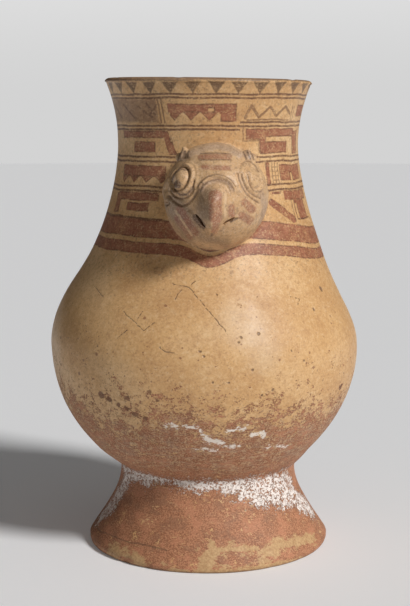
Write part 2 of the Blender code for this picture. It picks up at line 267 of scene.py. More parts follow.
class Wiring:
    """Adds nodes to a tree and feeds their sockets, one call for each step of a recipe."""

    def __init__(self, tree: Tree) -> None:
        """Takes the tree that the nodes go into."""
        self.tree = tree

    def feed(self, socket: Socket, value: Link) -> None:
        """Links a socket to another node's output, or sets its own value."""
        if isinstance(value, Socket):
            self.tree.links.new(value, socket)
        elif socket.type == "RGBA":
            socket.default_value = (*value[:3], 1.0)
        else:
            socket.default_value = value

    def add(self, kind: str, inputs: Sequence[Link | None] = (), **settings: object) -> bpy.types.Node:
        """Adds a node.

        Args:
            kind: the node's type.
            inputs: what its sockets take, in their order; None leaves one as it is.
            settings: the node's own properties.

        Returns:
            The new node.
        """
        node = self.tree.nodes.new(kind)
        for name, value in settings.items():
            setattr(node, name, value)
        for socket, value in zip(node.inputs, inputs):
            if value is not None:
                self.feed(socket, value)
        return node

    def named(self, kind: str, inputs: dict[str, Link], **settings: object) -> bpy.types.Node:
        """Adds a node whose sockets are fed by name."""
        node = self.add(kind, **settings)
        for name, value in inputs.items():
            self.feed(node.inputs[name], value)
        return node

    def math(self, operation: str, *values: Link) -> Socket:
        """A Math node's result."""
        return self.add("ShaderNodeMath", values, operation=operation).outputs[0]

    def times(self, first: Link, second: Link) -> Socket:
        """One number multiplied by another."""
        return self.math("MULTIPLY", first, second)

    def times_plus(self, first: Link, second: Link, third: Link) -> Socket:
        """One number multiplied by another, and a third added."""
        return self.math("MULTIPLY_ADD", first, second, third)

    def plus(self, first: Link, second: Link) -> Socket:
        """One number added to another."""
        return self.math("ADD", first, second)

    def minus(self, first: Link, second: Link) -> Socket:
        """The first number less the second."""
        return self.math("SUBTRACT", first, second)

    def larger(self, first: Link, second: Link) -> Socket:
        """The larger of two numbers."""
        return self.math("MAXIMUM", first, second)

    def smaller(self, first: Link, second: Link) -> Socket:
        """The smaller of two numbers."""
        return self.math("MINIMUM", first, second)

    def vector(self, operation: str, *values: Link) -> Socket:
        """A Vector Math node's vector."""
        return self.add("ShaderNodeVectorMath", values, operation=operation).outputs[0]

    def measure(self, operation: str, *values: Link) -> Socket:
        """A Vector Math node's number, such as a length or a dot product."""
        return self.add("ShaderNodeVectorMath", values, operation=operation).outputs[1]

    def scaled(self, place: Link, scale: Link) -> Socket:
        """A vector multiplied by a number, or by another vector."""
        if isinstance(scale, (int, float)):
            scale = (scale, scale, scale)
        return self.vector("MULTIPLY", place, scale)

    def parts(self, place: Link) -> tuple[Socket, ...]:
        """The three numbers of a vector."""
        return tuple(self.add("ShaderNodeSeparateXYZ", (place,)).outputs)

    def joined(self, x: Link, y: Link, z: Link = 0.0) -> Socket:
        """A vector from three numbers."""
        return self.add("ShaderNodeCombineXYZ", (x, y, z)).outputs[0]

    def step(self, value: Link, low: Link, high: Link, to_low: float = 0.0, to_high: float = 1.0):
        """A smooth change from to_low to to_high as the value goes from low to high."""
        inputs = (value, low, high, to_low, to_high)
        return self.add("ShaderNodeMapRange", inputs, interpolation_type="SMOOTHSTEP").outputs[0]

    def grain(self, place: Link, scale: float, detail: float = 3.0, rough: float = 0.55) -> Socket:
        """Noise from 0 to 1 at a place."""
        inputs = {"Vector": place, "Scale": scale, "Detail": detail, "Roughness": rough}
        return self.named("ShaderNodeTexNoise", inputs).outputs[0]

    def mixed(self, share: Link, first: Link, second: Link, blend: str = "MIX") -> Socket:
        """The first colour turned into the second by a share."""
        node = self.add("ShaderNodeMix", data_type="RGBA", blend_type=blend)
        for place, value in ((0, share), (6, first), (7, second)):
            self.feed(node.inputs[place], value)
        return node.outputs[2]

    def washed(self, colour: Link, tone: Link, mask: Link, strength: float) -> Socket:
        """The colour with a tone laid over it inside a mask."""
        return self.mixed(self.times(mask, strength), colour, tone)

    def ramp(self, value: Link, stops: Iterable[tuple[float, Colour]]) -> Socket:
        """A colour that follows a number through its stops."""
        node = self.add("ShaderNodeValToRGB", (value,))
        elements = node.color_ramp.elements
        for i, (position, colour) in enumerate(stops):
            element = elements[i] if i < 2 else elements.new(position)
            element.position = position
            element.color = (*colour, 1.0)
        return node.outputs[0]

    def use(self, group: Tree, **inputs: Link) -> Outputs:
        """The outputs of a shared group that is placed here with its own values."""
        kind = "GeometryNodeGroup" if group.bl_idname == "GeometryNodeTree" else "ShaderNodeGroup"
        node = self.add(kind, node_tree=group)
        for name, value in inputs.items():
            self.feed(node.inputs[name.replace("_", " ")], value)
        return node.outputs


FLOAT, VECTOR, COLOUR = "NodeSocketFloat", "NodeSocketVector", "NodeSocketColor"


def shared_group(
    name: str,
    inputs: dict[str, str],
    outputs: dict[str, str],
    recipe: Callable[[Wiring, Outputs], Sequence[Link]],
) -> Tree:
    """A shader node group with named sockets, built once and used by several materials.

    Args:
        name: the group's name.
        inputs: its inputs' names and socket types.
        outputs: its outputs' names and socket types.
        recipe: adds the nodes, and returns what each output gives.

    Returns:
        The node group.
    """
    if name in bpy.data.node_groups:
        return bpy.data.node_groups[name]
    tree = bpy.data.node_groups.new(name, "ShaderNodeTree")
    for label, kind in inputs.items():
        tree.interface.new_socket(label, in_out="INPUT", socket_type=kind)
    for label, kind in outputs.items():
        tree.interface.new_socket(label, in_out="OUTPUT", socket_type=kind)
    wiring = Wiring(tree)
    results = recipe(wiring, wiring.add("NodeGroupInput").outputs)
    wiring.add("NodeGroupOutput", results)
    return tree


def shape_group(name: str, sizes: dict[str, str], recipe: Callable[..., Link]) -> Tree:
    """A group that joins one painted shape to the field of the shapes laid before it.

    A field is a vector: degrees round the pot, millimetres up it, and the distance so far.

    Args:
        name: the group's name.
        sizes: the shape's own inputs and their socket types.
        recipe: takes the wiring, the place from the shape's origin and the sizes' sockets,
            and returns the distance to the shape.

    Returns:
        The node group.
    """

    def whole(w: Wiring, given: Outputs) -> Sequence[Link]:
        across, up, _ = w.parts(given[0])
        x, y, before = w.parts(w.vector("SUBTRACT", given[0], given[1]))
        nearest = w.smaller(recipe(w, x, y, *given[2 : 2 + len(sizes)]), before)
        return [w.joined(across, up, nearest)]

    return shared_group(name, {"Field": VECTOR, "Origin": VECTOR, **sizes}, {"Field": VECTOR}, whole)


def block_group() -> Tree:
    """Lays a leaning oblong."""

    def recipe(w: Wiring, x: Link, y: Link, wide: Link, tall: Link, lean: Link) -> Link:
        x = w.math("ABSOLUTE", w.minus(x, w.times(lean, y)))
        x, y = w.minus(x, wide), w.minus(w.math("ABSOLUTE", y), tall)
        return w.larger(x, y)

    return shape_group("oblong", {"Half width": FLOAT, "Half height": FLOAT, "Lean": FLOAT}, recipe)


def stroke_group() -> Tree:
    """Lays a straight brush stroke with round ends."""

    def recipe(w: Wiring, x: Link, y: Link, along: Link, inverse: Link, half: Link) -> Link:
        off = w.joined(x, y)
        share = w.times(w.measure("DOT_PRODUCT", off, along), inverse)
        share = w.smaller(w.larger(share, 0.0), 1.0)
        nearest = w.vector("MULTIPLY", along, w.joined(share, share, share))
        return w.minus(w.measure("LENGTH", w.vector("SUBTRACT", off, nearest)), half)

    return shape_group("stroke", {"Along": VECTOR, "Inverse": FLOAT, "Half width": FLOAT}, recipe)


def teeth_group() -> Tree:
    """Lays a row of pointed teeth, whose origin is the tip of one of them."""

    def recipe(w: Wiring, x: Link, y: Link, pitch: Link, half: Link, tall: Link) -> Link:
        turn = w.math("DIVIDE", x, pitch)
        off = w.math("ABSOLUTE", w.minus(turn, w.math("ROUND", turn)))
        share = w.math("DIVIDE", y, tall)
        side = w.minus(w.times(off, pitch), w.times(share, half))
        return w.larger(side, w.minus(y, tall))

    return shape_group("teeth", {"Pitch": FLOAT, "Half width": FLOAT, "Tall": FLOAT}, recipe)


@dataclass(frozen=True)
class Block:
    """A painted oblong: its edges in degrees round the neck and millimetres up, and its lean."""

    left: float
    right: float
    low: float
    high: float
    lean: float = 0.0

    def lay(self, w: Wiring, before: Link) -> Socket:
        """Joins this shape to the field of the shapes before it."""
        origin = ((self.left + self.right) / 2, (self.low + self.high) / 2, 0.0)
        sizes = {"Half_width": (self.right - self.left) / 2, "Half_height": (self.high - self.low) / 2}
        return w.use(block_group(), Field=before, Origin=origin, Lean=self.lean, **sizes)[0]


@dataclass(frozen=True)
class Stroke:
    """A straight brush stroke or crack between two places, with its width."""

    start: Pair
    end: Pair
    width: float

    def lay(self, w: Wiring, before: Link) -> Socket:
        """Joins this shape to the field of the shapes before it."""
        along = (self.end[0] - self.start[0], self.end[1] - self.start[1], 0.0)
        inverse = 1 / max(along[0] ** 2 + along[1] ** 2, 1e-6)
        sizes = {"Along": along, "Inverse": inverse, "Half_width": self.width / 2}
        return w.use(stroke_group(), Field=before, Origin=(*self.start, 0.0), **sizes)[0]


@dataclass(frozen=True)
class Teeth:
    """A row of pointed teeth: one tip's place, their pitch, half width and height."""

    tip: Pair
    pitch: float
    half: float
    tall: float

    def lay(self, w: Wiring, before: Link) -> Socket:
        """Joins this shape to the field of the shapes before it."""
        sizes = {"Pitch": self.pitch, "Half_width": self.half, "Tall": self.tall}
        return w.use(teeth_group(), Field=before, Origin=(*self.tip, 0.0), **sizes)[0]


Motif = Block | Stroke | Teeth
FAR = 99.0


def path(width: float, *places: Pair) -> tuple[Stroke, ...]:
    """Strokes of one width from place to place."""
    return tuple(Stroke(start, end, width) for start, end in zip(places, places[1:]))


def spots(width: float, *places: Pair) -> tuple[Stroke, ...]:
    """Round spots of one width."""
    return tuple(Stroke(place, place, width) for place in places)


def ruled(left: float, right: float, height: float, width: float = 1.25) -> Block:
    """A level painted line."""
    return Block(left, right, height - width / 2, height + width / 2)


def distance(w: Wiring, place: Link, motifs: Iterable[Motif]) -> Link:
    """The distance to the nearest edge of some painted shapes, below 0 inside them."""
    across, up, _ = w.parts(place)
    shapes = w.joined(across, up, FAR)
    for motif in motifs:
        shapes = motif.lay(w, shapes)
    return w.parts(shapes)[2]


def pot_place_group(axis: Vector) -> Tree:
    """Where a point is on the pot: round it in degrees, up it in millimetres, and in space."""

    def recipe(w: Wiring, given: Outputs) -> Sequence[Link]:
        world = w.scaled(w.vector("SUBTRACT", given[0], tuple(axis)), MM)
        x, y, z = w.parts(world)
        turn = w.math("ARCTAN2", x, w.times(y, -1.0))
        turn = w.times(turn, HALF_TURN / math.pi)
        return [turn, z, world]

    outputs = {"Round": FLOAT, "Height": FLOAT, "World": VECTOR}
    return shared_group("place_on_the_pot", {"Object": VECTOR}, outputs, recipe)


def wobble_group() -> Tree:
    """Shifts a place a little, as an unsteady hand does."""

    def recipe(w: Wiring, given: Outputs) -> Sequence[Link]:
        place, world, amount = given[:3]
        total = place
        for scale, share in ((0.055, 1.0), (0.32, 0.38)):
            fuzz = w.named("ShaderNodeTexNoise", {"Vector": world, "Scale": scale, "Detail": 1.0})
            off = w.vector("SUBTRACT", fuzz.outputs[1], (0.5, 0.5, 0.5))
            size = w.times(amount, share * 4)
            total = w.vector("ADD", total, w.vector("MULTIPLY", off, w.joined(size, size, 0.0)))
        return [total]

    inputs = {"Place": VECTOR, "World": VECTOR, "Amount": FLOAT}
    return shared_group("unsteady_hand", inputs, {"Place": VECTOR}, recipe)


def worn_paint_group() -> Tree:
    """How much of a painted shape is left: soft brushed edges, streaks and rubbed places."""

    def recipe(w: Wiring, given: Outputs) -> Sequence[Link]:
        gap, world, wear, soft = given[:4]
        fray = w.minus(w.grain(world, 0.9, 2.0), 0.5)
        edge = w.plus(gap, w.times(fray, w.times(soft, 2.4)))
        left = w.step(edge, w.times(soft, -1.0), soft, 1.0, 0.0)
        rubbed = w.step(w.grain(world, 0.085, 4.0, 0.62), 0.42, 0.68)
        streaks = w.step(w.grain(w.scaled(world, (0.35, 0.35, 1.6)), 0.75, 3.0, 0.7), 0.40, 0.66)
        flecks = w.step(w.grain(world, 1.1, 3.0, 0.65), 0.50, 0.66)
        loss = w.plus(w.times(streaks, 0.45), w.times(flecks, 0.75))
        loss = w.times(loss, w.plus(w.times(rubbed, 0.8), 0.25))
        kept = w.minus(1.0, w.times(loss, wear))
        return [w.times(left, w.larger(kept, 0.0))]

    inputs = {"Distance": FLOAT, "World": VECTOR, "Wear": FLOAT, "Softness": FLOAT}
    return shared_group("worn_paint", inputs, {"Mask": FLOAT}, recipe)


BUFF_SLIP = ((0.32, (0.60, 0.335, 0.140)), (0.5, (0.68, 0.405, 0.180)), (0.66, (0.75, 0.48, 0.24)))
RED_CLAY = ((0.40, (0.52, 0.245, 0.135)), (0.5, (0.41, 0.172, 0.088)), (0.60, (0.23, 0.090, 0.048)))
RUBBED_SLIP = ((0.35, (0.66, 0.45, 0.23)), (0.65, (0.44, 0.255, 0.115)))
SCRAPED_CLAY = ((0.3, (0.30, 0.17, 0.10)), (0.55, (0.42, 0.25, 0.145)), (0.75, (0.52, 0.34, 0.20)))


def burnished_slip_group() -> Tree:
    """The buff slip that the whole pot was burnished with, mottled by the fire."""

    def recipe(w: Wiring, given: Outputs) -> Sequence[Link]:
        world = given[0]
        slow = w.grain(world, 0.022, 3.0, 0.55)
        middle = w.grain(world, 0.11, 4.0, 0.6)
        mottle = w.grain(w.scaled(world, (1.0, 1.0, 1.2)), 0.34, 4.0, 0.66)
        fine = w.grain(world, 0.85, 4.0, 0.72)
        buff = w.ramp(slow, BUFF_SLIP)
        for share, tone in (
            (w.step(middle, 0.50, 0.70, 0.0, 0.40), (0.50, 0.265, 0.115)),
            (w.step(mottle, 0.50, 0.66, 0.0, 0.40), (0.46, 0.245, 0.115)),
            (w.step(mottle, 0.47, 0.34, 0.0, 0.28), (0.84, 0.62, 0.38)),
            (w.step(fine, 0.52, 0.67, 0.0, 0.50), (0.36, 0.18, 0.085)),
            (w.step(fine, 0.48, 0.33, 0.0, 0.30), (0.86, 0.64, 0.40)),
        ):
            buff = w.mixed(share, buff, tone)
        wave = w.times(w.grain(w.scaled(world, (1.0, 1.0, 2.2)), 0.10, 2.0), 0.20)
        return [buff, w.step(middle, 0.3, 0.7, 0.38, 0.50), w.times_plus(fine, 0.12, wave)]

    outputs = {"Colour": COLOUR, "Roughness": FLOAT, "Relief": FLOAT}
    return shared_group("burnished_slip", {"World": VECTOR}, outputs, recipe)


def worn_slip_group() -> Tree:
    """The slip's wear down towards the foot: red clay, dark grains, buff crumbs and scuffs."""

    def recipe(w: Wiring, given: Outputs) -> Sequence[Link]:
        height, world, colour = given[:3]
        flat = w.scaled(world, (1.0, 1.0, 1.4))
        large = w.grain(flat, 0.10, 6.0, 0.72)
        middle = w.grain(flat, 0.42, 4.0, 0.70)
        small = w.grain(flat, 1.05, 3.0, 0.70)
        torn = w.times_plus(large, 0.42, w.times(middle, 0.34))
        torn = w.times_plus(small, 0.24, torn)
        drift = w.times(w.minus(w.grain(world, 0.030, 3.0), 0.5), 40.0)
        drifted = w.plus(height, drift)
        lower = w.step(drifted, 112.0, 78.0)
        level = w.step(drifted, 148.0, 60.0, 0.598, 0.418)
        bare = w.step(torn, level, w.plus(level, 0.022))
        red = w.ramp(small, RED_CLAY)
        other = w.vector("ADD", flat, (31.0, 17.0, 5.0))
        crumbly = w.grain(other, 0.30, 5.0, 0.75)
        blotchy = w.grain(other, 0.075, 5.0, 0.70)
        red = w.mixed(w.step(blotchy, 0.52, 0.60, 0.0, 0.50), red, (0.25, 0.115, 0.068))
        red = w.mixed(w.step(blotchy, 0.46, 0.40, 0.0, 0.55), red, (0.55, 0.235, 0.13))
        colour = w.washed(colour, red, bare, 0.94)
        crumbs = w.times_plus(crumbly, 0.6, w.times(small, -0.4))
        crumbs = w.step(crumbs, 0.128, 0.150, 0.0, 0.75)
        upper = w.times(lower, w.step(height, 54.0, 64.0, 0.07, 1.0))
        colour = w.mixed(w.times(crumbs, upper), colour, (0.66, 0.45, 0.26))
        scuffs = w.grain(w.scaled(world, (0.28, 0.28, 1.9)), 0.34, 4.0, 0.72)
        scuffs = w.times(w.step(scuffs, 0.50, 0.58), upper)
        colour = w.washed(colour, (0.46, 0.335, 0.235), scuffs, 0.30)
        return [colour, bare]

    inputs = {"Height": FLOAT, "World": VECTOR, "Colour": COLOUR}
    return shared_group("worn_slip", inputs, {"Colour": COLOUR, "Bare": FLOAT}, recipe)


def pitting_group() -> Tree:
    """Small round pits where grains of the clay fell out, as thick as the given share."""

    def recipe(w: Wiring, given: Outputs) -> Sequence[Link]:
        world, share, size = given[:3]
        cells = w.named("ShaderNodeTexVoronoi", {"Vector": world, "Scale": w.math("DIVIDE", 1.0, size)})
        chance, girth, _ = w.parts(cells.outputs["Color"])
        edge = w.times_plus(w.times(girth, girth), 0.26, 0.10)
        ragged = w.times(w.minus(w.grain(world, 1.3, 2.0), 0.5), 0.22)
        spot = w.step(w.plus(cells.outputs["Distance"], ragged), edge, w.times(edge, 0.5))
        return [w.times(spot, w.math("LESS_THAN", chance, share))]

    inputs = {"World": VECTOR, "Share": FLOAT, "Size": FLOAT}
    return shared_group("pitting", inputs, {"Mask": FLOAT}, recipe)


def crust_group() -> Tree:
    """Patchy pale lime left by the soil inside an area: how much there is, and how high."""

    def recipe(w: Wiring, given: Outputs) -> Sequence[Link]:
        gap, world, spread, thick = given[:4]
        ragged = w.minus(w.grain(world, 0.09, 5.0, 0.68), 0.5)
        inside = w.step(w.plus(gap, w.times(ragged, spread)), 5.0, -7.0)
        crumbs = w.grain(w.scaled(world, (1.0, 1.0, 1.3)), 0.22, 5.0, 0.80)
        crumbs = w.times_plus(w.grain(world, 0.80, 4.0, 0.80), 0.62, w.times(crumbs, 0.38))
        level = w.minus(0.64, w.times(inside, thick))
        mask = w.step(crumbs, level, w.plus(level, 0.04))
        mask = w.times(mask, w.step(inside, 0.02, 0.12))
        return [mask, w.times(mask, w.times_plus(crumbs, 0.5, 0.1))]

    inputs = {"Distance": FLOAT, "World": VECTOR, "Spread": FLOAT, "Thickness": FLOAT}
    return shared_group("lime_crust", inputs, {"Mask": FLOAT, "Relief": FLOAT}, recipe)


@dataclass(frozen=True)
class Palette:
    """The painter's slips, what the soil and the years added to them, and the painted shade and
    highlight laid over them.
    """

    cream: Colour = (0.66, 0.43, 0.23)
    red: Colour = (0.255, 0.080, 0.046)
    faded_red: Colour = (0.37, 0.138, 0.080)
    dark: Colour = (0.105, 0.055, 0.034)
    line: Colour = (0.125, 0.053, 0.034)
    lip: Colour = (0.21, 0.125, 0.085)
    # smoke stain, partly painted shade
    smoke_and_shade: Colour = (0.27, 0.145, 0.082)
    # soil and dirt, also used for the painted contact shade at the foot's bottom edge
    dirt_and_shade: Colour = (0.19, 0.105, 0.06)
    lime: Colour = (0.97, 0.89, 0.82)
    chalk: Colour = (0.95, 0.86, 0.76)
    grey: Colour = (0.35, 0.24, 0.18)
    # pale weathering, partly a painted highlight
    haze_and_highlight: Colour = (0.88, 0.76, 0.58)
    loss: Colour = (0.22, 0.098, 0.052)
    pit: Colour = (0.27, 0.115, 0.058)
    pale_slip: Colour = (0.58, 0.39, 0.235)
    # painted shade on the head's shadowed side and under its beak
    painted_shade: Colour = (0.24, 0.155, 0.095)
    bright_slip: Colour = (0.72, 0.50, 0.29)
    worn_slip: Colour = (0.74, 0.54, 0.38)
    grime: Colour = (0.30, 0.18, 0.105)


@dataclass(frozen=True)
class Finish:
    """What every finish of the pot shares: its palette, its axis, and how its material ends."""

    axis: Vector
    palette: Palette = Palette()
    gloss: float = 0.32
    relief: float = 0.9

    def start(self, name: str) -> tuple[bpy.types.Material, Wiring, Outputs]:
        """A new material with its wiring and the place on the pot."""
        material = bpy.data.materials.new(name)
        material.use_nodes = True
        wiring = Wiring(material.node_tree)
        spot = wiring.add("ShaderNodeTexCoord").outputs["Object"]
        return material, wiring, wiring.use(pot_place_group(self.axis), Object=spot)

    @staticmethod
    def folded(w: Wiring, turn: Link) -> Socket:
        """Degrees round the pot, counted again from the middle of the back."""
        return w.math("WRAP", turn, HALF_TURN / 2, -HALF_TURN / 2)

    def end(self, w: Wiring, colour: Link, rough: Link, relief: Link) -> None:
        """Feeds the material's shader its colour, roughness and relief in millimetres."""
        shader = w.tree.nodes["Principled BSDF"]
        bump = w.named("ShaderNodeBump", {"Strength": self.relief, "Distance": 1 / MM, "Height": relief})
        w.feed(shader.inputs["Base Color"], colour)
        w.feed(shader.inputs["Roughness"], rough)
        w.feed(shader.inputs["Normal"], bump.outputs[0])
        shader.inputs["Specular IOR Level"].default_value = self.gloss


@dataclass(frozen=True)
class PaintedNeck(Finish):
    """The neck's worn bands of red blocks and ruled dark lines on cream slip."""

    red_wear: float = 0.90
    line_wear: float = 0.90
    softness: float = 0.34
    dip_turn: float = 1.0
    dip_width: float = 10.5
    dip_depth: float = 7.0
    right_fall: float = 7.5
    red: tuple[Motif, ...] = (
        Block(-24, 16.5, 279.2, 284.4),
        Block(7, 16.5, 273.8, 284.4),
        Block(66, 80, 277, 284),
        Block(-66, -26, 264, 268.2),
        Block(-52, -34, 255.4, 262),
        Block(-26.5, -21.5, 254, 268, -0.36),
        Block(23, 65, 264.8, 269.8),
        Block(23, 36, 263.2, 269.8),
        Block(33, 37.5, 257, 266),
        Block(33, 57, 254.6, 261.8),
        Block(64, 73, 254, 268),
        Block(-63, -26, 240.5, 247.3),
        Block(36.5, 39.5, 236, 249),
        Block(48, 75, 238, 247.5),
        Block(-64, -29, 226, 231),
        Block(-52, -35, 219.9, 224.8),
        Block(-66, -60, 218, 230),
        Block(39, 46, 230.2, 231.6),
        Block(49, 76, 226, 231.8),
        Block(57, 71, 213.5, 226),
        Stroke((38, 225), (53, 214), 4.6),
    )
    bands: tuple[Motif, ...] = (Block(-190, 190, 204.6, 215.4), Block(-190, 190, 195.3, 201.9))
    toothed: tuple[tuple[Teeth, Block], ...] = (
        (Teeth((-60, 236.6), 10.5, 4.6, 4.0), Block(-63, -26, 236, 242)),
        (Teeth((-10, 274.4), 10.4, 5.1, 5.0), Block(-23, 9, 273.6, 280)),
    )
    cream: tuple[Motif, ...] = (
        Stroke((0.6, 280.9), (2.4, 281.1), 2.0),
        Stroke((60, 237), (60, 242), 2.2),
        Block(-24, -23.2, 262, 269, -0.36),
        Block(57.5, 60, 214, 224),
    )
    lines: tuple[Motif, ...] = (
        ruled(-99, 99, 290.2),
        ruled(-99, 99, 288.0),
        ruled(-99, 19, 271.3),
        ruled(-99, 19, 269.1),
        ruled(19, 99, 273.6),
        ruled(19, 99, 271.2),
        ruled(-99, 99, 252.6),
        ruled(-99, 99, 249.8),
        ruled(-99, 20, 234.6),
        ruled(-99, 20, 232.0),
        ruled(20, 99, 236.0),
        ruled(20, 99, 232.8),
        ruled(-99, -24, 215.8),
    )
    figures: tuple[Motif, ...] = (
        *path(1.0, (-30, 288), (-29, 273)),
        *path(1.0, (-27.8, 288), (-26.8, 273)),
        *path(1.7, (22, 276), (25.5, 283.5), (31, 276.5), (38, 282.5), (44, 277), (51, 283), (57, 279)),
        Block(23, 57, 274.6, 275.5),
        Block(58.6, 59.4, 274, 283),
        Block(60.8, 61.5, 274, 283),
        Block(20.6, 21.4, 262.2, 272),
        Block(20.6, 32.4, 262.0, 262.9),
        Block(31.9, 32.7, 255, 262),
        Block(41.2, 41.9, 236, 249),
        Block(43.7, 44.4, 236, 249),
        Block(46.2, 46.9, 236, 249),
        *(Block(41.6, 47, low, low + 0.6) for low in (238.2, 240.8, 243.4, 246)),
        Block(54.5, 55.3, 212, 226),
        Block(58, 75, 213.3, 214.5),
    )
    # darker brown panels at both sides of the rim band: a smoke stain, and on the left partly painted
    # shade
    side_panels: tuple[Motif, ...] = (Block(-99, -31, 273.4, 287.4), Block(82, 99, 273.4, 287.4))
    rim_teeth: tuple[Motif, ...] = (Teeth((4, 290.4), 12.6, 4.5, 7.2),)
    lip_from: float = 298.2
    scribbles: tuple[Motif, ...] = (
        Stroke((-45, 283), (-35, 277), 1.5),
        Stroke((-38, 285), (-33, 278.5), 1.3),
        Stroke((-36, 279), (-31, 284), 1.2),
        Stroke((-60, 284), (-50, 276), 1.5),
        Stroke((-75, 283), (-66, 276), 1.5),
    )

    def dipped(self, w: Wiring, turn: Link, height: Link) -> Socket:
        """The height that the lowest bands follow: they dip under the head and fall at its right."""
        off = w.math("DIVIDE", w.minus(turn, self.dip_turn), self.dip_width)
        dip = w.math("POWER", math.e, w.times(w.times(off, off), -1.0))
        total = w.times_plus(dip, self.dip_depth, height)
        total = w.plus(total, w.step(turn, 15.0, 80.0, 0.0, self.right_fall))
        return w.plus(total, w.step(turn, 105.0, 170.0, 0.0, -self.right_fall))

    def make(self) -> bpy.types.Material:
        """Builds the neck's material."""
        material, w, spot = self.start("painted_neck")
        turn, height, world = spot
        folded = self.folded(w, turn)
        hand = w.use(wobble_group(), Place=w.joined(folded, height), World=world, Amount=0.42)[0]
        ground = w.use(burnished_slip_group(), World=world)
        low = w.joined(folded, self.dipped(w, turn, height))
        low = w.use(wobble_group(), Place=low, World=world, Amount=0.5)[0]

        def paint(gap: Link, wear: float, soft: float) -> Socket:
            return w.use(worn_paint_group(), Distance=gap, World=world, Wear=wear, Softness=soft)[0]

        red = distance(w, hand, self.red)
        _, high, _ = w.parts(hand)
        for teeth, limit in self.toothed:
            row = w.larger(distance(w, hand, (teeth,)), distance(w, hand, (limit,)))
            red = w.smaller(red, row)
        cream = distance(w, hand, self.cream)
        red = w.larger(red, w.times(cream, -1.0))
        bands = distance(w, low, self.bands)
        red = w.smaller(red, bands)
        colour = ground["Colour"]
        # smoke stain, partly painted shade on the left
        panel = paint(distance(w, hand, self.side_panels), 0.7, 1.2)
        colour = w.washed(colour, self.palette.smoke_and_shade, panel, 0.8)
        blotch = w.step(w.grain(world, 0.24, 5.0, 0.72), 0.40, 0.62)
        tint = w.mixed(blotch, self.palette.red, self.palette.faded_red)
        covered = paint(red, self.red_wear, self.softness)
        colour = w.washed(colour, tint, covered, 0.94)
        rim_of_red = w.math("ABSOLUTE", w.plus(red, 0.25))
        outline = w.step(rim_of_red, 0.75, 0.15, 0.0, 0.55)
        outline = w.times(outline, w.step(w.grain(world, 0.22, 2.0), 0.38, 0.6))
        colour = w.mixed(outline, colour, self.palette.dark)
        lines = paint(distance(w, hand, self.lines), self.line_wear, 0.26)
        figures = paint(distance(w, hand, self.figures), 0.85, 0.26)
        figures = w.times(figures, 0.75)
        scribbles = w.times(paint(distance(w, hand, self.scribbles), 0.8, 0.4), 0.7)
        thin = w.larger(w.larger(lines, figures), scribbles)
        colour = w.washed(colour, self.palette.line, thin, 0.9)
        triangles = paint(distance(w, hand, self.rim_teeth), 0.8, 0.6)
        colour = w.washed(colour, self.palette.dark, triangles, 0.82)
        lip = paint(w.minus(self.lip_from, high), 0.7, 0.5)
        colour = w.washed(colour, self.palette.lip, lip, 0.85)
        grime = w.step(w.grain(world, 0.42, 5.0, 0.75), 0.53, 0.63, 0.0, 0.42)
        colour = w.mixed(grime, colour, self.palette.dirt_and_shade)
        rubbed = w.step(w.grain(world, 0.62, 4.0, 0.75), 0.45, 0.37, 0.0, 0.50)
        colour = w.mixed(rubbed, colour, self.palette.cream)
        rough = w.times_plus(covered, 0.05, ground["Roughness"])
        self.end(w, colour, rough, ground["Relief"])
        return material


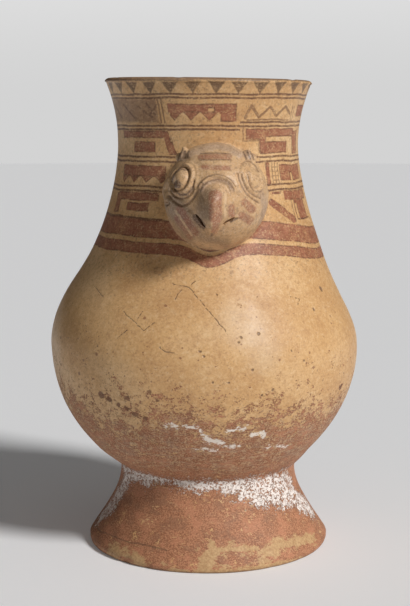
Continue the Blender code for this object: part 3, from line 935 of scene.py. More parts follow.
@dataclass(frozen=True)
class BurnishedBowl(Finish):
    """The bowl's buff slip with its cracks, pits, clouds, a pale patch that is partly a painted
    highlight, and the red worn lower down.
    """

    stretch: float = 1.6
    crack_width: float = 0.28
    cracks: tuple[tuple[Pair, ...], ...] = (
        ((-55, 174), (-46, 169)),
        ((-33, 163), (-28, 157), (-25, 153), (-24, 152), (-20, 157)),
        ((-26, 163), (-27, 158)),
        ((-33, 148), (-30, 152)),
        ((-17, 143), (-15, 141), (-12, 141)),
        ((-15, 179), (-8, 176), (-5, 172), (-1, 166), (4, 158), (7, 151)),
        ((-8, 178), (-4, 183)),
        ((-11, 175), (-13, 170)),
        ((36, 169), (41, 167), (39, 164)),
    )
    pits: tuple[tuple[Pair, float], ...] = (
        ((18, 151), 1.6),
        ((47, 161), 1.6),
        ((58, 171), 3.4),
        ((11.8, 149.2), 1.5),
        ((10.9, 146.5), 1.2),
        ((15, 130.6), 1.6),
        ((22.5, 117), 1.5),
        ((18.5, 114.4), 1.2),
        ((3, 173), 1.0),
        ((-3.1, 141.7), 1.3),
        ((-1.8, 139.4), 1.0),
        ((35.2, 133.8), 1.0),
        ((1.6, 124.1), 1.0),
        ((7.0, 123.4), 1.1),
        ((-41, 141), 0.9),
        ((31, 140), 0.9),
    )
    losses: tuple[tuple[Pair, float], ...] = (
        ((-41, 111), 4.4),
        ((-37.2, 109.2), 3.4),
        ((-33.4, 106.8), 2.4),
        ((-29.3, 112.1), 2.8),
        ((-30.1, 104.9), 2.8),
        ((-27.6, 101.5), 3.4),
        ((-23.7, 99.5), 2.4),
        ((-20.5, 116.1), 2.0),
        ((-18, 112), 1.6),
        ((60, 110), 3.0),
    )
    # a pale weathered patch where the belly's highlight falls, partly a painted highlight
    haze_and_highlight: tuple[tuple[Pair, float], ...] = (((16, 152), 20.0), ((20, 138), 16.0), ((10, 160), 12.0))
    pale: tuple[tuple[Pair, Pair, float], ...] = (
        ((-16, 95.5), (-12, 95.8), 3.0),
        ((-9, 95.8), (-4, 94.5), 2.6),
        ((-3, 92.8), (-2, 90), 2.4),
        ((-1, 87), (5, 84), 4.2),
        ((6, 82), (13, 81), 2.2),
        ((7, 92.2), (14, 94), 2.2),
        ((17.5, 89.6), (22, 88.6), 4.2),
        ((25, 79), (38, 77), 2.0),
        ((-6, 80), (4, 78.5), 1.8),
    )

    def drawn(self, start: Pair, end: Pair, width: float) -> Stroke:
        """A stroke on the bowl, from degrees and millimetres."""
        return Stroke((start[0] * self.stretch, start[1]), (end[0] * self.stretch, end[1]), width)

    def spread(self, marks: Iterable[tuple[Pair, float]]) -> list[Stroke]:
        """Round marks on the bowl, from degrees and millimetres."""
        return [self.drawn(place, place, size) for place, size in marks]

    def make(self) -> bpy.types.Material:
        """Builds the bowl's material."""
        material, w, spot = self.start("burnished_bowl")
        turn, height, world = spot
        folded = self.folded(w, turn)
        ground = w.use(burnished_slip_group(), World=world)
        place = w.joined(w.times(folded, self.stretch), height)
        shaken = w.use(wobble_group(), Place=place, World=world, Amount=0.9)[0]
        uneven = w.times(w.grain(world, 0.2, 4.0, 0.65), 9.0)
        # pale weathering, partly a painted highlight on the belly's lit side
        haze_and_highlight = w.step(w.plus(distance(w, shaken, self.spread(self.haze_and_highlight)), uneven), 14.0, -4.0)
        colour = w.mixed(w.times(haze_and_highlight, 0.20), ground["Colour"], self.palette.haze_and_highlight)
        worn = w.use(worn_slip_group(), Height=height, World=world, Colour=colour)
        colour = worn["Colour"]
        ragged = w.times(w.minus(w.grain(world, 0.7, 3.0, 0.65), 0.5), 3.0)
        losses = w.plus(distance(w, shaken, self.spread(self.losses)), ragged)
        losses = w.step(losses, 0.5, -0.3)
        colour = w.washed(colour, self.palette.loss, losses, 0.85)
        side = w.step(w.math("ABSOLUTE", w.plus(folded, 40.0)), 14.0, 55.0, 0.34, 0.10)
        share = w.times(w.step(height, 165.0, 112.0, 0.08, 1.0), side)
        share = w.times_plus(haze_and_highlight, 0.16, share)
        pitted = w.use(pitting_group(), World=world, Share=share, Size=4.2)[0]
        elsewhere = w.vector("ADD", world, (50.0, 9.0, 3.0))
        small = w.use(pitting_group(), World=elsewhere, Share=w.times(share, 1.5), Size=2.3)[0]
        pitted = w.larger(pitted, small)
        colour = w.washed(colour, self.palette.pit, pitted, 0.75)
        pale = [self.drawn(*mark) for mark in self.pale]
        broken = w.grain(w.scaled(world, (0.8, 0.8, 1.5)), 0.36, 5.0, 0.78)
        chalk = w.step(w.times_plus(broken, 14.0, distance(w, shaken, pale)), 6.9, 5.9)
        colour = w.washed(colour, self.palette.chalk, chalk, 0.90)
        pairs = (pair for line in self.cracks for pair in zip(line, line[1:]))
        tracks = [self.drawn(start, end, self.crack_width) for start, end in pairs]
        crack = w.step(distance(w, shaken, tracks), 0.30, -0.05, 0.0, 0.8)
        crack = w.times(crack, w.step(w.grain(world, 0.6, 2.0), 0.38, 0.52))
        pits = w.step(distance(w, shaken, self.spread(self.pits)), 0.5, -0.4)
        holes = w.larger(w.larger(crack, pits), losses)
        colour = w.mixed(w.times(w.larger(crack, pits), 0.8), colour, self.palette.dirt_and_shade)
        relief = w.times_plus(holes, -0.45, ground["Relief"])
        waist = w.minus(height, 57.5)
        lime = w.use(crust_group(), Distance=waist, World=world, Spread=12.0, Thickness=0.15)
        colour = w.washed(colour, self.palette.lime, lime["Mask"], 0.85)
        rough = w.times_plus(lime["Mask"], 0.25, ground["Roughness"])
        rough = w.times_plus(worn["Bare"], 0.22, rough)
        relief = w.times_plus(worn["Bare"], -0.14, relief)
        self.end(w, colour, rough, w.plus(relief, lime["Relief"]))
        return material


@dataclass(frozen=True)
class LimedFoot(Finish):
    """The foot's red-brown slip, rubbed to buff in places, crusted with lime by the waist, and painted
    darker along its bottom edge as contact shade.
    """

    lime: tuple[Motif, ...] = (
        Stroke((-40, 54), (10, 53), 18),
        Stroke((10, 52), (26, 49), 21),
        Stroke((26, 47), (60, 39), 27),
        Stroke((60, 37), (80, 22), 20),
        Stroke((-66, 46), (-82, 16), 18),
        Stroke((-70, 50), (-36, 54), 18),
    )
    rubbed: tuple[Motif, ...] = (
        Stroke((-51, 6), (-34, 4), 6),
        Stroke((-3, 7), (1, 13), 6),
        Stroke((1, 14), (24, 12.5), 2.5),
        Stroke((27, 8), (38, 13), 7),
        Stroke((38, 12), (63, 10), 4),
        Stroke((-20, 1.6), (48, 1.0), 3.4),
    )
    incised: tuple[Motif, ...] = path(0.4, (-80, 10), (-48, 12), (-21, 12))

    def make(self) -> bpy.types.Material:
        """Builds the foot's material."""
        material, w, spot = self.start("limed_foot")
        turn, height, world = spot
        folded = self.folded(w, turn)
        ground = w.use(burnished_slip_group(), World=world)
        place = w.use(wobble_group(), Place=w.joined(folded, height), World=world, Amount=0.8)[0]
        worn = w.use(worn_slip_group(), Height=height, World=world, Colour=ground["Colour"])
        colour = worn["Colour"]
        torn = w.grain(w.scaled(world, (0.7, 0.7, 1.5)), 0.16, 7.0, 0.72)
        rubbed = w.times_plus(torn, 26.0, distance(w, place, self.rubbed))
        rubbed = w.step(rubbed, 14.0, 12.9)
        buff = w.ramp(w.grain(world, 0.7, 4.0, 0.7), RUBBED_SLIP)
        colour = w.washed(colour, buff, rubbed, 0.85)
        line = w.step(distance(w, place, self.incised), 0.4, -0.1)
        # painted contact shade: darker along the bottom edge, where the foot meets the floor
        contact_shade = w.step(w.plus(height, w.times(w.grain(world, 0.4, 3.0), 2.5)), 3.4, 1.4)
        dark = w.larger(w.times(line, 0.5), w.times(contact_shade, 0.65))
        colour = w.mixed(dark, colour, self.palette.dirt_and_shade)
        crusted = distance(w, place, self.lime)
        lime = w.use(crust_group(), Distance=crusted, World=world, Spread=15.0, Thickness=0.185)
        colour = w.washed(colour, self.palette.lime, lime["Mask"], 0.92)
        rough = w.times_plus(lime["Mask"], 0.2, w.plus(ground["Roughness"], 0.2))
        relief = w.times_plus(line, -0.3, w.plus(ground["Relief"], lime["Relief"]))
        self.end(w, colour, rough, relief)
        return material


@dataclass(frozen=True)
class BareInside(Finish):
    """The inside of the bowl, foot and head: plain scraped clay, darker with soil."""

    def make(self) -> bpy.types.Material:
        """Builds the inside's material."""
        material, w, spot = self.start("scraped_inside")
        height, world = spot["Height"], spot["World"]
        tone = w.grain(world, 0.05, 4.0, 0.6)
        colour = w.ramp(tone, SCRAPED_CLAY)
        soil = w.step(w.grain(world, 0.35, 4.0, 0.7), 0.5, 0.68, 0.0, 0.5)
        colour = w.mixed(soil, colour, self.palette.dirt_and_shade)
        scrape = w.grain(w.scaled(world, (0.12, 0.12, 1.0)), 0.9, 3.0, 0.6)
        relief = w.times_plus(scrape, 0.35, w.times(w.grain(world, 1.5, 3.0), 0.1))
        rough = w.step(tone, 0.3, 0.7, 0.66, 0.8)
        self.end(w, colour, rough, relief)
        return material


@dataclass(frozen=True)
class PaintedHead(Finish):
    """The head's cream slip with its faded paint and its painted shade, in millimetres across and up its
    front.
    """

    centre: Vector = field(default_factory=Vector)
    half_width: float = 31.0
    reds: tuple[Motif, ...] = (
        *path(7.6, (-0.9, 0.6), (-0.5, -12.5)),
        *path(4.2, (-0.6, -16.0), (-1.2, -20.5)),
        *path(4.0, (8.9, -6.5), (9.0, -10.5)),
        *path(3.0, (-9.5, 23.4), (-3.0, 23.8), (7.4, 23.6)),
        *path(2.6, (-8.0, 17.5), (7.0, 17.0)),
        *path(5.0, (17.0, -3.5), (21.0, -7.5)),
        *path(5.0, (15.5, -11.5), (20.0, -14.5)),
        *path(4.2, (-22.0, -7.0), (-12.5, -21.5)),
        *path(3.4, (-23.5, -12.5), (-15.5, -23.8)),
    )
    creams: tuple[Motif, ...] = (
        *path(1.4, (5.0, 2.2), (5.0, -11.5)),
        *path(1.3, (-24.5, -8.0), (-14.5, -23.0)),
        *path(1.5, (20.8, -16.5), (26.0, -12.0)),
    )
    greys: tuple[Motif, ...] = (
        *path(4.0, (-16.0, 25.0), (-10.2, 27.6), (-5.0, 29.1), (1.0, 29.8), (7.5, 28.5), (14.3, 24.8)),
        *path(3.6, (26.5, 2.0), (29.0, -6.2), (26.5, -16.0)),
        *path(2.6, (-9.0, 4.0), (-7.0, 8.0), (0.0, 10.2), (7.0, 8.0), (9.2, 4.0)),
        *spots(6.0, (-19.5, 24.0), (19.5, 24.5)),
    )
    # painted shade: dark strokes on the beak's shadowed left flank, on the left cheek, which faces away
    # from the light, and under the beak
    painted_shade_strokes: tuple[Motif, ...] = (
        *path(9.0, (-6.0, 1.0), (-7.0, -10.0)),
        *path(13.0, (-25.0, -5.0), (-15.0, -20.0)),
        *path(5.0, (-9.0, -24.0), (6.0, -28.0)),
    )
    dark_marks_and_shadows: tuple[Motif, ...] = (
        # painted shade: dark spots in the left eye's carved pit and in the pit at the beak's tip
        *spots(4.6, (-23.2, 7.4)),
        *spots(1.8, (-3.0, -22.6)),
        # painted shadow: strokes that widen the dark of the slits beside the beak
        *path(3.6, (-12.6, -12.2), (-10.0, -15.0), (-8.2, -17.6)),
        *path(1.2, (12.4, -12.8), (8.6, -14.8)),
        *path(1.3, (-24.6, 4.2), (-21.6, 1.2), (-17.2, 1.6), (-14.4, 5.6)),
        *path(1.2, (-26.2, 9.0), (-25.0, 13.6), (-21.4, 16.4), (-17.0, 15.8)),
        *path(0.9, (-22.6, 21.6), (-20.8, 26.2)),
        *path(0.9, (-19.9, 22.6), (-18.4, 27.0)),
        *path(0.8, (-17.2, 23.6), (-16.2, 27.0)),
        *path(0.9, (15.8, 26.8), (17.6, 22.4)),
        *path(0.9, (18.2, 27.0), (20.0, 22.4)),
        *path(0.8, (20.4, 26.2), (22.2, 22.0)),
        *path(0.6, (-9.5, 21.6), (0.0, 22.0), (8.4, 21.8)),
        *path(0.6, (-9.5, 25.5), (0.0, 25.8), (8.0, 25.3)),
    )
    carved: tuple[tuple[Pair, ...], ...] = ()
    soil_width: float = 0.9

    def make(self) -> bpy.types.Material:
        """Builds the head's material."""
        material, w, spot = self.start("painted_head")
        height, world = spot["Height"], spot["World"]
        ground = w.use(burnished_slip_group(), World=world)
        local = w.vector("SUBTRACT", world, tuple(self.centre * MM))
        x, y, z = w.parts(local)
        nearer = w.times_plus(y, -GROWS_NEARER / self.half_width, 1.0)
        across = w.times(x, nearer)
        up = w.times_plus(y, DROPS_NEARER, w.times(z, nearer))
        place = w.use(wobble_group(), Place=w.joined(across, up), World=world, Amount=0.3)[0]

        def paint(motifs: Iterable[Motif], wear: float, soft: float) -> Socket:
            gap = distance(w, place, motifs)
            return w.use(worn_paint_group(), Distance=gap, World=world, Wear=wear, Softness=soft)[0]

        size = self.half_width
        lines = [[(a * size, b * size) for a, b in line] for line in self.carved]
        grooves = [stroke for line in lines for stroke in path(self.soil_width, *line)]
        colour = w.mixed(0.35, ground["Colour"], self.palette.pale_slip)
        # painted shade over the head's shadowed left side and under the beak
        painted_shade_strokes = w.times(paint(self.painted_shade_strokes, 0.5, 2.2), 0.75)
        colour = w.mixed(painted_shade_strokes, colour, self.palette.painted_shade)
        greys = w.times(paint(self.greys, 0.6, 1.0), 0.55)
        colour = w.mixed(greys, colour, self.palette.grey)
        reds = w.times(paint(self.reds, 1.0, 0.7), 0.80)
        blotch = w.step(w.grain(world, 0.35, 5.0, 0.72), 0.42, 0.60)
        colour = w.mixed(reds, colour, w.mixed(blotch, self.palette.red, self.palette.faded_red))
        creams = w.times(paint(self.creams, 0.6, 0.4), 0.7)
        colour = w.mixed(creams, colour, self.palette.bright_slip)
        dirt_and_shade = w.times(paint(grooves, 0.4, 0.5), 0.75)
        colour = w.mixed(dirt_and_shade, colour, self.palette.dirt_and_shade)
        # painted dark lines, with painted shadow in the slits and painted shade in the pits
        dark_marks_and_shadows = w.times(paint(self.dark_marks_and_shadows, 0.5, 0.5), 0.90)
        colour = w.mixed(dark_marks_and_shadows, colour, self.palette.dark)
        chalky = w.step(w.grain(world, 0.95, 4.0, 0.75), 0.50, 0.60, 0.0, 0.40)
        colour = w.mixed(chalky, colour, self.palette.worn_slip)
        grime = w.step(w.grain(world, 0.45, 4.0, 0.75), 0.52, 0.60, 0.0, 0.55)
        colour = w.mixed(grime, colour, self.palette.grime)
        self.end(w, colour, ground["Roughness"], ground["Relief"])
        return material


def turning_tree() -> Tree:
    """Geometry nodes that turn a section's points about the pot's axis into a closed skin."""
    tree = bpy.data.node_groups.new("turned_section", "GeometryNodeTree")
    for name, kind in (
        ("Section", "NodeSocketGeometry"),
        ("Rows", "NodeSocketInt"),
        ("Turns", "NodeSocketInt"),
        ("Weld", FLOAT),
        ("Clay", "NodeSocketMaterial"),
    ):
        tree.interface.new_socket(name, in_out="INPUT", socket_type=kind)
    tree.interface.new_socket("Pot", in_out="OUTPUT", socket_type="NodeSocketGeometry")
    w = Wiring(tree)
    section, rows, turns, weld, clay = w.add("NodeGroupInput").outputs[:5]
    seam = w.plus(turns, 1.0)
    grid = w.add("GeometryNodeMeshGrid", (1.0, 1.0, rows, seam)).outputs["Mesh"]
    index = w.add("GeometryNodeInputIndex").outputs[0]
    row = w.math("FLOOR", w.math("DIVIDE", w.plus(index, 0.5), seam))
    step = w.minus(index, w.times(row, seam))
    angle = w.times(w.math("DIVIDE", step, turns), math.tau)
    sample = w.add("GeometryNodeSampleIndex", data_type="FLOAT_VECTOR", domain="POINT")
    w.feed(sample.inputs["Geometry"], section)
    w.feed(sample.inputs["Value"], w.add("GeometryNodeInputPosition").outputs[0])
    w.feed(sample.inputs["Index"], row)
    radius, _, height = w.parts(sample.outputs[0])
    x = w.times(radius, w.math("SINE", angle))
    y = w.times(radius, w.math("COSINE", angle))
    placed = w.named("GeometryNodeSetPosition", {"Geometry": grid, "Position": w.joined(x, y, height)})
    merged = w.named("GeometryNodeMergeByDistance", {"Geometry": placed.outputs[0], "Distance": weld})
    real = w.named("GeometryNodeRealizeInstances", {"Geometry": merged.outputs[0]})
    done = w.named("GeometryNodeSetMaterial", {"Geometry": real.outputs[0], "Material": clay})
    w.add("NodeGroupOutput", (done.outputs[0],))
    return tree


def put_in_scene(name: str, mesh: bpy.types.Mesh) -> bpy.types.Object:
    """A new object in the scene, at the origin."""
    obj = bpy.data.objects.new(name, mesh)
    bpy.context.scene.collection.objects.link(obj)
    return obj


def from_shape(name: str, shape: bmesh.types.BMesh) -> bpy.types.Object:
    """A new object in the scene that takes over a shape."""
    mesh = bpy.data.meshes.new(name)
    shape.to_mesh(mesh)
    shape.free()
    return put_in_scene(name, mesh)


def as_mesh(obj: bpy.types.Object, name: str) -> bpy.types.Object:
    """The object as its modifiers leave it, as a plain mesh object that takes its place."""
    view = bpy.context.evaluated_depsgraph_get()
    mesh = bpy.data.meshes.new_from_object(obj.evaluated_get(view))
    mesh.name = name
    obj.modifiers.clear()
    bpy.data.objects.remove(obj)
    return put_in_scene(name, mesh)


def face_outwards(mesh: bpy.types.Mesh) -> None:
    """Turns every face of a closed skin outwards."""
    shape = bmesh.new()
    shape.from_mesh(mesh)
    bmesh.ops.recalc_face_normals(shape, faces=shape.faces)
    shape.to_mesh(mesh)
    shape.free()


@dataclass(frozen=True)
class PotBody:
    """The turned bowl and foot, with the unevenness of hand work and small losses at its edges."""

    outline: Outline = Outline()
    turns: int = 240
    outer_gap: float = 0.0022
    inner_gap: float = 0.0050
    weld: float = 0.000004
    swell: float = 0.00045
    swell_size: float = 28.0
    ripple: float = 0.00012
    ripple_size: float = 110.0
    chip_depth: float = 0.0011
    chip_size: float = 90.0
    chip_threshold: float = 0.22
    lip_band: float = 0.0015
    lip_chips: float = 1.6
    edge_band: float = 0.005
    edge_width: float = 0.0004
    edge_chips: float = 2.2

    def uneven(self, point: Vector) -> Vector:
        """Where a point of the turned skin goes once the hand's unevenness is on it."""
        away = Vector((point.x, point.y, 0.0))
        if away.length < 0.001:
            return point
        away.normalize()
        slow = noise.noise(point * self.swell_size + Vector((3.1, 0.4, 7.7)))
        fast = noise.noise(point * self.ripple_size)
        moved = point + away * (slow * self.swell + fast * self.ripple)
        return moved + self.chip(point)

    def chip(self, point: Vector) -> Vector:
        """What small losses take off the lip and the foot's edge at a point."""
        spot = point * self.chip_size + Vector((9.0, 2.0, 4.0))
        bite = max(noise.noise(spot) - self.chip_threshold, 0.0)
        if point.z > self.outline.rim.height - self.lip_band:
            return Vector((0.0, 0.0, -bite * self.chip_depth * self.lip_chips))
        edge = self.outline.foot_turn[-1][0] + self.edge_width
        if point.z < self.edge_band and math.hypot(point.x, point.y) > edge:
            away = Vector((-point.x, -point.y, 0.0)).normalized()
            return away * bite * self.chip_depth * self.edge_chips
        return Vector()

    def make(self) -> bpy.types.Object:
        """Turns the section and lays the hand's unevenness on it."""
        points = self.outline.section(self.outer_gap, self.inner_gap)
        mesh = bpy.data.meshes.new("section")
        mesh.from_pydata([(p.x, 0.0, p.y) for p in points], [], [])
        obj = put_in_scene("section", mesh)
        turn = obj.modifiers.new("turn", "NODES")
        turn.node_group = turning_tree()
        clay = bpy.data.materials.new("clay")
        sizes = {"Rows": len(points), "Turns": self.turns, "Weld": self.weld, "Clay": clay}
        for item in turn.node_group.interface.items_tree:
            if item.in_out == "INPUT" and item.name in sizes:
                turn[item.identifier] = sizes[item.name]
        pot = as_mesh(obj, "turned_pot")
        for vertex in pot.data.vertices:
            vertex.co = self.outline.hand_built(self.uneven(vertex.co.copy()))
        face_outwards(pot.data)
        pot.data.materials.clear()
        return pot


@dataclass(frozen=True)
class Ridge:
    """A raised roll or a groove drawn on the head's front: its path, half width and height."""

    path: tuple[Pair, ...]
    half: float
    rise: float


@dataclass(frozen=True)
class EyeCut:
    """How far an eye's ball, lid and fold stand out, and how deep its trench and pit are."""

    ball: float
    lid: float
    trench: float
    fold: float = 0.0
    pit: float = 0.0


@dataclass(frozen=True)
class BirdHead:
    """The hollow head on the neck's front. Its carving is in head units, half its width each."""

    outline: Outline = Outline()
    width: float = 0.062
    height: float = 0.230
    stands_out: float = 0.0065
    shift: float = 0.0045
    depth_share: float = 1.10
    fillet: float = 0.004
    chamber_width: float = 0.029
    chamber_clearance: float = 0.004
    chamber_segments: int = 48
    chamber_rings: int = 24
    segments: int = 288
    rings: int = 132
    crowding: float = 1.5
    beak_root: Pair = (0.00, 0.32)
    beak_tip: Pair = (-0.11, -0.60)
    beak_half_width: float = 0.36
    beak_rise: float = 0.30
    ridge_rounding: float = 0.12
    beak_edge_blend: float = 0.24
    beak_taper: float = 0.60
    beak_taper_from: float = 0.50
    beak_rises_over: Pair = (-0.10, 0.40)
    beak_falls_over: Pair = (0.74, 1.16)
    cere_centre: Vector = field(default_factory=lambda: Vector((0.0, 0.11, 1.09)))
    cere_reach: Pair = (1.15, 1.7)
    cere_rolls: tuple[tuple[float, float, float], ...] = ((0.335, 0.042, 0.058), (0.262, 0.034, 0.038))
    arch_grooves: tuple[float, ...] = (0.295, 0.385)
    eyes: dict[Side, Vector] = field(
        default_factory=lambda: {
            Side.LEFT: Vector((-0.66, 0.37, 0.72)),
            Side.RIGHT: Vector((0.70, 0.41, 0.66)),
        }
    )
    eye_cuts: dict[Side, EyeCut] = field(
        default_factory=lambda: {
            Side.LEFT: EyeCut(0.13, 0.060, 0.040, 0.018, 0.09),
            Side.RIGHT: EyeCut(0.05, 0.026, 0.018),
        }
    )
    eyeball: tuple[float, float, float] = (0.18, 0.22, 0.23)
    eye_reach: float = 0.45
    trench_radius: float = 0.215
    trench_half: float = 0.035
    lid_radius: float = 0.275
    lid_half: float = 0.060
    fold_radius: float = 0.355
    fold_half: float = 0.045
    pit_width: float = 0.065
    pit_offset: Vector = field(default_factory=lambda: Vector((-0.11, -0.07, 0.0)))
    ears: dict[Side, Vector] = field(
        default_factory=lambda: {
            Side.LEFT: Vector((-0.63, 0.777, 0.16)),
            Side.RIGHT: Vector((0.63, 0.777, 0.16)),
        }
    )
    ear_size: tuple[float, float, float] = (0.16, 0.14, 0.2)
    ear_rise: float = 0.13
    notch_depth: float = 0.055
    notch_pitch: float = 0.095
    slit_reach: Pair = (0.35, 1.5)
    slit_bow: float = 0.12
    roughness: tuple[Pair, ...] = ((5.0, 0.012), (16.0, 0.004))
    slits: dict[Side, tuple[Pair, Pair, float]] = field(
        default_factory=lambda: {
            Side.LEFT: ((-0.47, -0.36), (-0.27, -0.57), 0.0024),
            Side.RIGHT: ((0.40, -0.42), (0.19, -0.56), 0.0018),
        }
    )
    ridges: tuple[Ridge, ...] = (
        Ridge(
            ((-0.52, 0.80), (-0.33, 0.89), (-0.17, 0.93), (0.03, 0.95), (0.24, 0.91), (0.46, 0.80)),
            half=0.080,
            rise=0.070,
        ),
        Ridge(
            rounded((-0.90, 0.01), (-0.80, -0.12), (-0.62, -0.19), (-0.45, -0.05), (-0.27, 0.24)),
            half=0.036,
            rise=-0.034,
        ),
        Ridge(
            rounded((-0.87, 0.12), (-0.78, -0.02), (-0.60, -0.04), (-0.47, 0.08), (-0.43, 0.30)),
            half=0.034,
            rise=-0.030,
        ),
        Ridge(
            rounded((0.40, 0.44), (0.43, 0.30), (0.56, 0.07), (0.68, -0.04), (0.79, -0.11)),
            half=0.034,
            rise=-0.036,
        ),
        Ridge(
            rounded((0.47, 0.42), (0.50, 0.28), (0.61, 0.10), (0.72, 0.02), (0.83, -0.03)),
            half=0.032,
            rise=-0.028,
        ),
        Ridge(rounded((0.59, 0.41), (0.63, 0.22), (0.74, 0.09), (0.87, 0.11)), 0.032, -0.032),
        Ridge(rounded((0.48, 0.63), (0.57, 0.69), (0.72, 0.63), (0.80, 0.48)), 0.034, -0.028),
        Ridge(((-0.89, 0.33), (-0.985, 0.13), (-0.92, -0.18)), 0.050, 0.045),
        Ridge(((-0.935, -0.15), (-0.93, -0.13)), 0.045, -0.10),
        Ridge(((-0.10, -0.73), (-0.10, -0.72)), 0.040, -0.045),
        Ridge(((-0.52, -0.30), (-0.38, -0.46), (-0.25, -0.64)), 0.045, 0.020),
        Ridge(((0.46, -0.38), (0.32, -0.38), (0.17, -0.50)), 0.040, 0.018),
    )

    @property
    def centre(self) -> Vector:
        """The head's middle, in the pot's own frame."""
        forward = self.outline.radius(self.height) + self.stands_out
        return Vector((self.shift, -forward, self.height))

    def arch(self, radius: float, steps: int = 6) -> tuple[Pair, ...]:
        """Places along an arch over the beak's root, as seen from the front."""
        middle = self.picture(self.on_head(self.cere_centre))
        angles = (self.cere_reach[0] * (2 * i / steps - 1) for i in range(steps + 1))
        return tuple((middle.x + radius * math.sin(a), middle.y + radius * math.cos(a)) for a in angles)

    @property
    def grooves(self) -> tuple[tuple[Pair, ...], ...]:
        """The paths of the long grooves, which hold soil, with those between the arched rolls."""
        carved = tuple(ridge.path for ridge in self.ridges if ridge.rise < 0 and len(ridge.path) > 2)
        return (*carved, *(self.arch(radius) for radius in self.arch_grooves))

    def on_head(self, way: Vector) -> Vector:
        """The point of the plain head's ellipsoid in a direction, in head units."""
        return way / math.sqrt(way.x**2 + way.y**2 + (way.z / self.depth_share) ** 2)

    def out_of_head(self, point: Vector) -> Vector:
        """The direction straight out of the plain head's ellipsoid at one of its points."""
        return Vector((point.x, point.y, point.z / self.depth_share**2)).normalized()

    def to_pot(self, local: Vector) -> Vector:
        """A point of the head from head units (right, up, forward) to the pot's own frame."""
        half = self.width / 2
        return self.centre + Vector((local.x * half, -local.z * half, local.y * half))

    def beak(self, point: Vector) -> float:
        """How far the ridged beak stands out at a point of the plain head."""
        if point.z < 0:
            return 0.0
        share = (self.beak_root[1] - point.y) / (self.beak_root[1] - self.beak_tip[1])
        ridge = self.beak_root[0] + (self.beak_tip[0] - self.beak_root[0]) * share
        taper = 1 - self.beak_taper * smooth_step(share, self.beak_taper_from, 1.0)
        beside = math.hypot((point.x - ridge) / (self.beak_half_width * taper), self.ridge_rounding)
        falls = smooth_step(share, *self.beak_falls_over)
        length = smooth_step(share, *self.beak_rises_over) * (1 - falls)
        inside = 1 - beside
        if abs(inside) < self.beak_edge_blend:
            inside = (inside + self.beak_edge_blend) ** 2 / (4 * self.beak_edge_blend)
        return self.beak_rise * length * max(inside, 0.0)

    def eye(self, point: Vector, side: Side) -> float:
        """How far an eye and its lid stand out at a point of the plain head."""
        centre = self.on_head(self.eyes[side])
        off = point - centre
        away = off.length
        if away > self.eye_reach:
            return 0.0
        cut = self.eye_cuts[side]
        wide, tall, deep = self.eyeball
        round_off = max(1 - (off.x / wide) ** 2 - (off.y / tall) ** 2 - (off.z / deep) ** 2, 0.0)
        lid = cut.lid * hump(away - self.lid_radius, self.lid_half)
        trench = cut.trench * hump(away - self.trench_radius, self.trench_half)
        fold = cut.fold * hump(away - self.fold_radius, self.fold_half)
        from_pit = (point - self.on_head(centre + self.pit_offset)).length
        pit = cut.pit * bell(from_pit, self.pit_width)
        return max(cut.ball * math.sqrt(round_off), lid - trench + fold) - pit

    def ear(self, point: Vector, side: Side) -> float:
        """How far an ear, with its notches, stands out at a point of the plain head."""
        off = point - self.on_head(self.ears[side])
        if off.length > 0.3:
            return 0.0
        sign = -1 if side is Side.LEFT else 1
        across = off.x * 0.8 + sign * off.y * 0.6
        wide, tall, deep = self.ear_size
        round_off = max(1 - (off.x / wide) ** 2 - (off.y / tall) ** 2 - (off.z / deep) ** 2, 0.0)
        lump = self.ear_rise * round_off**0.5
        notches = self.notch_depth * max(math.cos(across * math.tau / self.notch_pitch), 0.0) ** 2
        return max(lump - notches * min(lump / 0.05, 1.0), 0.0)

    def cere(self, point: Vector) -> float:
        """The arched rolls over the beak's root, each with its radius, half width and rise."""
        off = point - self.on_head(self.cere_centre)
        fade = 1 - smooth_step(abs(math.atan2(off.x, off.y)), *self.cere_reach)
        away = off.length
        return fade * sum(rise * hump(away - radius, half) for radius, half, rise in self.cere_rolls)

    def picture(self, point: Vector) -> Vector:
        """Where a point of the head is seen from the front and a little above."""
        nearer = 1 + GROWS_NEARER * point.z
        return Vector((point.x * nearer, point.y * nearer - DROPS_NEARER * point.z))

    def carving(self, point: Vector) -> float:
        """The rolls and grooves drawn on the head's front."""
        if point.z < -0.15:
            return 0.0
        spot = self.picture(point)
        total = 0.0
        for ridge in self.ridges:
            nearest = ridge.half
            for start, end in zip(ridge.path, ridge.path[1:]):
                first, along = Vector(start), Vector(end) - Vector(start)
                off = spot - first
                share = min(max(off.dot(along) / along.length_squared, 0.0), 1.0)
                nearest = min(nearest, (off - along * share).length)
            if nearest < ridge.half:
                total += ridge.rise * hump(nearest, ridge.half)
        return total

    def relief(self, point: Vector) -> float:
        """How far the whole carving stands out at a point of the plain head."""
        if point.z < -0.3:
            return 0.0
        total = self.beak(point) + self.cere(point) * (1 - 0.3 * min(self.beak(point) / 0.1, 1.0))
        for side in Side:
            total += self.eye(point, side) + self.ear(point, side)
        rough = sum(noise.noise(point * scale) * rise for scale, rise in self.roughness)
        return total + self.carving(point) + rough

    def keep_outside(self, point: Vector, gap: float) -> Vector:
        """Moves a point straight outwards until it is a gap away from the neck's outer face."""
        least = self.outline.radius(point.z) + gap
        away = math.hypot(point.x, point.y)
        if away >= least:
            return point
        return Vector((point.x * least / away, point.y * least / away, point.z))

    def smoothed_to_neck(self, point: Vector) -> Vector:
        """Spreads the head's side where it meets the neck, as clay smoothed over a join."""
        gap = math.hypot(point.x, point.y) - self.outline.radius(point.z)
        near = min(max(1 - gap / self.fillet, 0.0), 1.0)
        sideways = Vector((point.x - self.centre.x, 0.0, point.z - self.centre.z))
        if sideways.length < self.width / 4:
            return point
        return point + sideways.normalized() * (self.fillet / 2) * near**2

